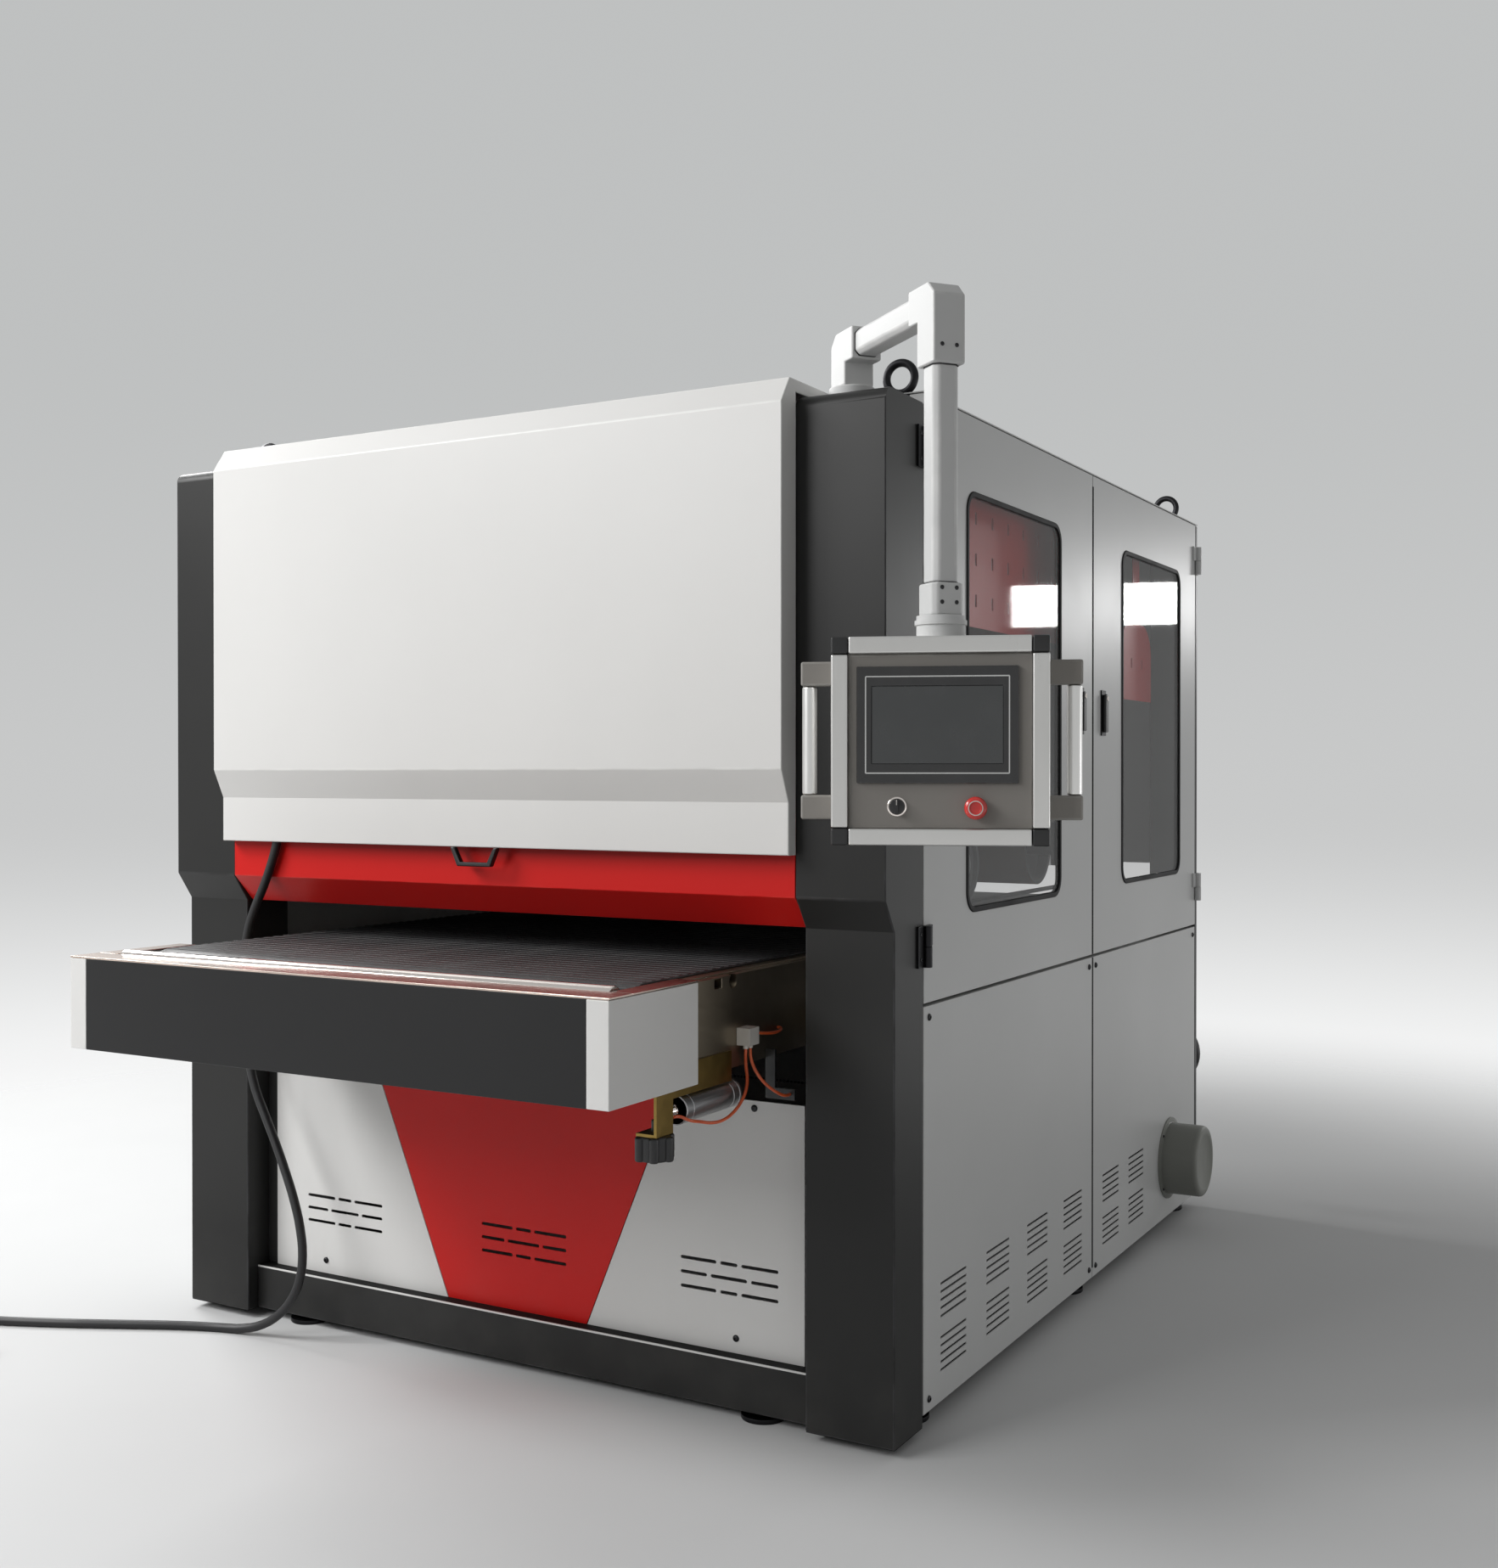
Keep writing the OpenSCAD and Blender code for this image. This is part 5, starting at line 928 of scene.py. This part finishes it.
def belt_finish(name):
    """Black belt rubber, dulled grey by wood dust in long streaks along the feed."""
    material, coat, place = new_finish(name)
    along = place.node("Mapping", None, {"Vector": place, "Scale": (6, 0.5, 1)})
    streak = along.noise(3.0, 4.0).step(0.4, 0.8)
    tone = streak.blend((0.020, 0.020, 0.021), (0.044, 0.043, 0.043))
    place.join(tone, coat.inputs["Base Color"])
    place.join(streak * 0.15 + 0.5, coat.inputs["Roughness"])
    skin = {"Height": place.noise(900, 3.0), "Strength": 0.3, "Distance": 0.0004}
    place.join(place.node("Bump", None, skin), coat.inputs["Normal"])
    return material


belt_rubber = belt_finish("belt_rubber")
BELT_HALF, BELT_R, BELT_Y0, BELT_Y1, BELT_Z = 0.600, 0.075, -0.350, 2.085, 0.830
RIB_COUNT, RIB_W, RIB_H = 178, 0.014, 0.0012
RIB_END = BELT_HALF - 0.002
rib = block((-RIB_W / 2, -RIB_H, -RIB_END), (RIB_W / 2, RIB_H, RIB_END), 0.0007, belt_rubber, 1)
belt_size = (BELT_Y1 - BELT_Y0 + 2 * BELT_R, 2 * BELT_R)
ringed(rib, RIB_COUNT, belt_size, BELT_R * 0.999, 12)
rib.rotation_euler = (QUARTER, 0, QUARTER)
rib.location = spot(0, (BELT_Y0 + BELT_Y1) / 2, BELT_Z)
bpy.ops.object.transform_apply()
conveyor = rounded(cad_copy("conveyor_belt", "conveyor_belt_loop"), 0.001, least=0.001)
conveyor.data.materials.append(belt_rubber)
fit(joined("conveyor_belt_ribbed", [conveyor, rib]), "table", "belt_rubber", "conveyor_belt")

for roller in ("conveyor_drive_roller", "conveyor_tension_roller"):
    eased(roller, roller + "_turned", ground_steel, "drum_steel", 0.0015)
chrome = bare_metal(
    "chrome", (0.80, 0.74, 0.70), 0.12, grain=20, draw=(0.4, 20, 20), cloud=0.05, marks=0.15
)
eased("infeed_roller", "infeed_roller_turned", chrome, "chrome", 0.002)
apron_black = powder_coat("apron_paint", (0.016, 0.016, 0.0165), 0.42, (0.05, 0.05, 0.052))
eased("apron_panel", "apron_panel_sheet", apron_black, "apron_paint", 0.0008, least=0.01)
hood_white = powder_coat("white_paint", (0.72, 0.715, 0.70), 0.36, (0.8, 0.8, 0.78), cloud=0.02)
eased(
    "apron_end_caps", "apron_end_cap_folds", hood_white, "white_paint",
    0.0022, least=0.02, segments=3,
)

gear_blue = powder_coat("gear_paint", (0.055, 0.095, 0.15), 0.42, (0.12, 0.18, 0.24))
GEAR_X, GEAR_HALF = -0.6373, 0.058
gear_case = block(
    spot(GEAR_X - 0.070, BELT_Y1 - GEAR_HALF, BELT_Z - GEAR_HALF),
    spot(GEAR_X, BELT_Y1 + GEAR_HALF, BELT_Z + GEAR_HALF), 0.008, gear_blue,
)
FLANGE = ((0, 0.046), (0.003, 0.048), (0.010, 0.048), (0.012, 0.046))
gear_flange = turned(40, FLANGE, spot(GEAR_X - 0.071, BELT_Y1, BELT_Z), "X", finish=gear_blue)
feed_motor = finned(
    spot(GEAR_X - 0.048, BELT_Y1 - 0.258, BELT_Z), "Y", 0.200, 0.043, 0.0478, gear_blue
)
gear_parts = [gear_case, gear_flange, feed_motor]
fit(joined("conveyor_gearmotor_case", gear_parts), "table", "gear_paint", "conveyor_gearmotor")


# Belt tracking unit
# Under the table's right front corner a yellow-passivated bracket holds an air cylinder with a
# bright nose, a white valve block with push-in fittings, a black star knob and orange air hoses.
CORNER = spot(0.637, -0.550, 0.905)
AIR_X, AIR_Z = -0.013, -0.2323
passivated = bare_metal("bracket_brass", (0.31, 0.21, 0.065), 0.36, cloud=0.45)
cylinder_alloy = bare_metal(
    "cylinder_alloy", (0.52, 0.52, 0.53), 0.34, grain=30, draw=(14, 0.4, 14)
)
valve_white = rubber("valve_plastic", (0.62, 0.60, 0.56), 0.4, 800)
black_plastic = rubber("black_plastic", (0.012, 0.012, 0.013), 0.36, 900)
tracking = eased(
    "tracking_unit", "tracking_unit_parts",
    [passivated, cylinder_alloy, valve_white, black_plastic], "bracket_brass", 0.0008, least=0.001,
)


def tracking_coat(at):
    """The unit's finish at a place: 1 on the cylinder, 2 the valve block, 3 the knob's boss."""
    in_air = math.hypot(at.x - AIR_X, at.z - AIR_Z) < 0.0275 and 0.2255 < at.y < 0.456
    if in_air and at.z < -0.2052:
        return 1
    if 0.4575 < at.y < 0.503 and at.z > -0.151:
        return 2
    return 3 if at.y > 0.5695 else 0


by_face(tracking, tracking_coat, CORNER)
air_rings = []
for y in (0.260, 0.283, 0.425, 0.447):
    ring = [(y, 0.0255), (y + 0.001, 0.0278), (y + 0.007, 0.0278), (y + 0.008, 0.0255)]
    place = CORNER + Vector((AIR_X, 0, AIR_Z))
    air_rings.append(turned(40, ring, place, "Y", finish=cylinder_alloy))
nose = [(0.0, 0.0125), (0.008, 0.0125), (0.009, 0.0105), (0.028, 0.0062), (0.034, 0.0042)]
place = CORNER + Vector((AIR_X, 0.2598, AIR_Z))
air_rings.append(turned(32, nose, place, "-Y", finish=chrome))
fit(joined("air_cylinder_rings", air_rings), "table", "bracket_brass")
eased(
    "star_knob", "star_knob_moulding", black_plastic, "black_plastic", 0.004, segments=3, sharp=60
)


def mottled(name, scale, detail, limits, dark, light, **shader):
    """Smooth plastic or glass with a clouded tone. Also returns the shader and the clouds."""
    material, coat, place = new_finish(name, **shader)
    cloud = place.noise(scale, detail).step(*limits)
    place.join(cloud.blend(dark, light), coat.inputs["Base Color"])
    return material, coat, cloud


HOSE_D = 0.006
HOSE_ROUTES = [
    [(15, 468, -150), (15, 467, -165), (19, 462, -183), (27, 452, -201), (34, 436, -219),
     (37, 414, -237), (36, 386, -253), (33, 354, -262), (28, 322, -262), (21, 290, -255),
     (17, 262, -248), (7, 244, -239), (4, 232, -238), (4, 225.3, -238)],
    [(15, 485, -150), (15, 486, -165), (18, 490, -183), (24, 497, -201), (32, 508, -218),
     (41, 522, -232), (49, 538, -243), (53, 550, -248), (55, 560, -249), (55, 569.7, -249)],
    [(15, 502, -126), (15, 514, -126), (16, 535, -129), (18, 560, -132), (18, 585, -133),
     (15, 605, -132), (9, 617, -131), (4, 621, -130), (0.3, 621.5, -130)],
]
hose_orange = mottled(
    "hose_plastic", 30.0, 3.0, (0.3, 0.7), (0.62, 0.085, 0.018), (0.74, 0.125, 0.032),
    Roughness=0.28,
)[0]
hoses = []
for route in HOSE_ROUTES:
    line = [CORNER + Vector(knot) / 1000 for knot in route]
    alone(tube("hose", line, HOSE_D, 4, 5, hose_orange))
    bpy.ops.object.convert(target="MESH")
    hoses.append(bpy.context.object)
fit(joined("air_hose_tubes", hoses), "table", "hose_plastic", "air_hoses")


# Doors
# Two folded doors with smoked, dusty windows in rubber gaskets. Each hangs on two hinges and shuts
# with a black swing handle on a plate near the seam between them.
smoked = mottled(
    "window_glass", 2.0, 2.0, (0.3, 0.7), (0.26, 0.262, 0.26), (0.31, 0.312, 0.31),
    Roughness=0.03, Alpha=0.18, IOR=1.5, Coat_Weight=1.0,
)[0]
gasket_rubber = rubber("gasket_rubber", (0.010, 0.010, 0.0105), 0.6, 700, Specular_IOR_Level=0.15)
SKIN_X, PAINTED_Y = HALF_W + 0.0002, 1.8
for door in ("front_door", "rear_door"):
    leaf = eased(
        door, door + "_tray", [light_grey, black_steel], "grey_paint", 0.0022, least=0.2,
        where=lambda at: at.x > SKIN_IN,
    )
    by_face(leaf, lambda at: at.x > SKIN_X and at.y < PAINTED_Y)
    with editing(cad_copy(door + "_glass", door + "_pane")):
        bpy.ops.mesh.separate(type="LOOSE")
    pane, gasket = sorted(bpy.context.selected_objects, key=lambda part: part.dimensions.x)
    rounded(pane, 0.0005)
    pane.data.materials.append(smoked)
    rounded(gasket, 0.0028, segments=3, where=lambda at: at.x > HALF_W)
    gasket.data.materials.append(gasket_rubber)
    pane.name, gasket.name = door + "_window_pane", door + "_window_gasket"
    fit(pane, door, "window_glass", door + "_glass")
    fit(gasket, door, "window_glass")
door_seam = seam_strip(SEAM_Z + SEAM_GAP + 0.001, 1.976)
door_seam.name = "door_seam_edge"
fit(door_seam, "rear_door", "cord_rubber")

LATCH_Z, LEVER_FACE = 1.461, HALF_W + 0.0126
LOCK_STEPS = (
    (-0.002, 0.0062), (0.0012, 0.0062), (0.0018, 0.0055), (0.0018, 0.0022), (0.0004, 0.002),
)
for latch, y in (("front_latch", 1.064), ("rear_latch", 1.234)):
    lever = rounded(cad_copy(latch, latch + "_lever"), 0.003, segments=3)
    lever.data.materials.append(black_plastic)
    barrel = turned(24, LOCK_STEPS, spot(LEVER_FACE, y, LATCH_Z), "X", finish=chrome)
    fit(joined(latch + "_swing_handle", [lever, barrel]), latch, "black_plastic", latch)

hinge_leaves = rounded(cad_copy("hinge_pins", "hinge_leaf_plates"), 0.0012)
for coat in (black_steel, light_grey):
    hinge_leaves.data.materials.append(coat)
by_face(hinge_leaves, lambda at: at.y > PAINTED_Y)
hinge_parts = [hinge_leaves]
for y in (0.1095, 2.1215):
    for z in (0.919, 0.967, 1.874, 1.922):
        hinge_parts.append(screw_head(spot(HALF_W + 0.005, y, z), "X", 0.0045, 0.002))
fit(joined("hinge_leaves", hinge_parts), "frame", "black_steel", "hinge_pins")


# Hood
# The lifting front cover: one warm white folded sheet with side cheeks, hinged on the roof. A black
# plastic pull hangs under its lip.
eased(
    "hood_cover", "hood_cover_fold", hood_white, "white_paint", 0.0025, least=0.05, segments=3,
    where=lambda at: at.y < 0.13, sharp=15,
)
eased("hood_handle", "hood_handle_pull", black_plastic, "black_plastic", 0.003, segments=3)


# Pendant arm
# Cast aluminium elbows and square tube with cut corners, powder coated pale grey. Thin black seals
# show at the joints, and socket screws clamp the tubes in the elbows.
ARM_PAINT = (0.60, 0.605, 0.60), 0.54, (0.70, 0.70, 0.69)
arm_grey = powder_coat("arm_paint", *ARM_PAINT, cloud=0.025)
arm_alloy = powder_coat("arm_aluminium", *ARM_PAINT, cloud=0.025)
eased("arm_base", "arm_base_collar", arm_grey, "arm_paint", 0.003, segments=3)
arm_tubes = eased(
    "pendant_arm", "pendant_arm_tubes", arm_alloy, "arm_aluminium", 0.004, least=0.008, segments=3
)
ARM_TURN, BOX_TURN = math.radians(-38.5), math.radians(21)
ARM_AXIS, DROP_AXIS = Vector((0.800, 0.070, 0)), Vector((1.07861, -0.151615, 0))
ARM_LEN, ARM_Z = 0.356, 2.085


def arm_shape(shape, turn, axis):
    """Turns a shape made round the origin to its place on the arm or the box."""
    alone(shape)
    shape.rotation_euler = (0, 0, turn)
    shape.location = ORIGIN + axis
    bpy.ops.object.transform_apply()
    return shape


seal_rubber = rubber("seal_rubber", (0.012, 0.012, 0.013), 0.5, 900)
PIN_TOP, PIN_R = 1.5456, 0.021
drop_line = ORIGIN + DROP_AXIS
with editing(arm_tubes):
    pick(
        arm_tubes, "VERT",
        lambda vert: vert.co.z < PIN_TOP and (vert.co - drop_line).xy.length < PIN_R,
    )
    bpy.ops.transform.resize(value=(0.98, 0.98, 1), center_override=drop_line)
SEAL, SEAL_HALF, TUBE_CUT = 0.0012, 0.0256, 0.009
arm_bits = []
for x in (0.0643, ARM_LEN - 0.0643):
    seal = block(
        (x - SEAL, -SEAL_HALF, ARM_Z - SEAL_HALF), (x + SEAL, SEAL_HALF, ARM_Z + SEAL_HALF),
        TUBE_CUT, seal_rubber, 1, where=lambda at: abs(at.x + ORIGIN.x - x) < SEAL / 2,
    )
    arm_bits.append(arm_shape(seal, ARM_TURN, ARM_AXIS))
for z in (1.6013, 1.9747):
    seal = block(
        (-SEAL_HALF, -SEAL_HALF, z - SEAL), (SEAL_HALF, SEAL_HALF, z + SEAL), TUBE_CUT,
        seal_rubber, 1, where=lambda at: abs(at.z + ORIGIN.z - z) < SEAL / 2,
    )
    arm_bits.append(arm_shape(seal, ARM_TURN, DROP_AXIS))
ELBOW_HALF, CLAMP_R, CLAMP_H = 0.031, 0.0038, 0.0012
for x in (0.045, ARM_LEN - 0.045):
    for z in (2.068, 2.102):
        screw = screw_head(Vector((x, ELBOW_HALF, z)), "Y", CLAMP_R, CLAMP_H)
        arm_bits.append(arm_shape(screw, ARM_TURN, ARM_AXIS))
for z in (2.006, 1.592, 1.567):
    for y in (-0.014, 0.014):
        screw = screw_head(Vector((ELBOW_HALF, y, z)), "X", CLAMP_R, CLAMP_H)
        arm_bits.append(arm_shape(screw, ARM_TURN, DROP_AXIS))
fit(joined("arm_seals_and_screws", arm_bits), "arm", "arm_aluminium")


# Control box
# Anodised aluminium bars with black plastic corners frame a taupe face plate; a folded tub closes
# the back. The operator panel, a selector, a red mushroom stop and two side handles sit on it.
BOX_HALF, BOX_Z, BOX_TOP, BAR = 0.1845, 1.152, 1.507, 0.029
FACE_Y = -0.052
BEZEL_X, BEZEL_Z, BEZEL_FRONT = -0.004, 1.357, -0.058


def on_box(at):
    """A place in the box's own axes."""
    at = at - DROP_AXIS
    at.rotate(Matrix.Rotation(-BOX_TURN, 3, "Z"))
    return at


anodised = bare_metal(
    "box_aluminium", (0.62, 0.615, 0.60), 0.34, grain=26, draw=(14, 14, 0.7), cloud=0.08
)
taupe_plate = powder_coat(
    "face_plate_paint", (0.235, 0.222, 0.205), 0.42, (0.33, 0.32, 0.3), cloud=0.04
)
corner_plastic = rubber("corner_plastic", (0.011, 0.011, 0.0115), 0.34, 900)
box_frame = eased(
    "pendant_box", "pendant_box_frame", [anodised, corner_plastic, taupe_plate, arm_grey],
    "box_aluminium", 0.0036, least=0.008, segments=4, where=lambda at: at.z < BOX_TOP + 0.001,
)


def box_coat(at):
    """The finish at a place on the box: 0 on the bars, 1 the corners, 2 the plate, 3 the neck."""
    at = on_box(at)
    slack = 0.0003
    if at.z > BOX_TOP + 0.0002:
        return 3
    if abs(at.x) > BOX_HALF - BAR and not BOX_Z + BAR <= at.z <= BOX_TOP - BAR:
        return 1
    upright = BOX_Z + BAR + slack <= at.z <= BOX_TOP - BAR - slack
    return 2 if upright and abs(at.x) <= BOX_HALF - BAR - slack else 0


by_face(box_frame, box_coat)
gloss_black = mottled(
    "screen_bezel", 22.0, 4.0, (0.35, 0.8), (0.012, 0.012, 0.0125), (0.020, 0.020, 0.021),
    Roughness=0.22, Coat_Weight=0.5,
)[0]
display_glass, display_coat, wipe = mottled(
    "screen_glass", 14.0, 5.0, (0.35, 0.8), (0.022, 0.025, 0.026), (0.030, 0.033, 0.034),
    Coat_Weight=1.0,
)
wipe.join(wipe * 0.08 + 0.1, display_coat.inputs["Roughness"])
screen = eased(
    "pendant_screen", "pendant_screen_bezel", [gloss_black, display_glass], "screen_glass",
    0.0014, segments=3,
)


def on_display(at):
    """Whether a place lies on the sunk glass of the screen."""
    at = on_box(at)
    inside = abs(at.x - BEZEL_X) < 0.1108 and abs(at.z - BEZEL_Z) < 0.0658
    return inside and -0.0572 < at.y < -0.0555


by_face(screen, on_display)
silver = bare_metal("bezel_line", (0.62, 0.62, 0.61), 0.3)
LINE, LINE_X, LINE_Z = 0.0011, 0.121, 0.082
rim = []
for side in (-1, 1):
    x, z = BEZEL_X + side * LINE_X, BEZEL_Z + side * LINE_Z
    level = (BEZEL_X - LINE_X, z - LINE), (BEZEL_X + LINE_X, z + LINE)
    upright = (x - LINE, BEZEL_Z - LINE_Z), (x + LINE, BEZEL_Z + LINE_Z)
    for (x0, z0), (x1, z1) in (level, upright):
        low, high = (x0, BEZEL_FRONT - 0.0004, z0), (x1, BEZEL_FRONT + 0.0002, z1)
        rim.append(arm_shape(block(low, high, 0.0002, silver), BOX_TURN, DROP_AXIS))
fit(joined("pendant_screen_line", rim), "pendant", "screen_glass")

handle_cast = powder_coat(
    "handle_bracket_paint", (0.27, 0.255, 0.235), 0.42, (0.36, 0.35, 0.33), cloud=0.04
)
grip_alloy = bare_metal(
    "handle_aluminium", (0.74, 0.735, 0.72), 0.33, grain=24, draw=(14, 14, 0.6), cloud=0.06
)
grips = eased(
    "pendant_handles", "pendant_side_handles", [handle_cast, grip_alloy], "handle_aluminium",
    0.004, least=0.001, segments=3,
)


def on_grip(at):
    """Whether a place lies on the tube of a handle, not on its brackets."""
    at = on_box(at)
    return BOX_Z + 0.0852 < at.z < BOX_Z + 0.2738 and abs(at.x) > 0.2


by_face(grips, on_grip)

stop_gloss = mottled(
    "stop_red", 60.0, 3.0, (0.3, 0.7), (0.56, 0.014, 0.010), (0.66, 0.024, 0.016),
    Roughness=0.25, Coat_Weight=0.6,
)[0]
STOP, SELECTOR = Vector((0.061, FACE_Y, 1.216)), Vector((-0.072, FACE_Y, 1.218))
stop_steps = [
    (-0.012, 0.010), (0.006, 0.010), (0.006, 0.0165), (0.0075, 0.0188), (0.010, 0.0195),
    (0.0145, 0.0192), (0.0178, 0.0172), (0.0194, 0.0135), (0.0196, 0.0092), (0.0186, 0.0085),
    (0.0186, 0.002),
]
mushroom = turned(48, stop_steps, STOP, "-Y", finish=stop_gloss)
band_steps = [(0.0190, 0.0128), (0.0202, 0.0126), (0.0203, 0.0112), (0.0190, 0.0110)]
band = opened(turned(48, band_steps, STOP, "-Y", finish=valve_white))
for shape in (mushroom, band):
    arm_shape(shape, BOX_TURN, DROP_AXIS)
fit(joined("estop_mushroom", [mushroom, band]), "estop_button", "stop_red", "estop_button")

knob_steps = [(0.0003, 0.0128), (0.004, 0.0132), (0.0062, 0.0124), (0.0066, 0.0112)]
knob = turned(40, knob_steps, SELECTOR, "-Y", finish=black_plastic)
grip_low, grip_high = Vector((-0.0036, -0.0122, -0.0128)), Vector((0.0036, -0.004, 0.0128))
grip_bar = block(SELECTOR + grip_low, SELECTOR + grip_high, 0.0014, black_plastic)
mark_low, mark_high = Vector((-0.0006, -0.01245, 0.003)), Vector((0.0006, -0.0120, 0.0118))
mark = block(SELECTOR + mark_low, SELECTOR + mark_high, 0.0001, valve_white)
for shape in (knob, grip_bar, mark):
    arm_shape(shape, BOX_TURN, DROP_AXIS)
switch = joined("selector_switch_knob", [knob, grip_bar, mark])
fit(switch, "selector_switch", "black_plastic", "selector_switch")
collar_steps = [(0, 0.0165), (0.0018, 0.0165), (0.0026, 0.0153), (0.0026, 0.0139), (0.0008, 0.0135)]
collar = opened(turned(48, collar_steps, SELECTOR, "-Y", finish=chrome))
arm_shape(collar, BOX_TURN, DROP_AXIS)
collar.name = "selector_collar"
fit(collar, "pendant", "box_aluminium")
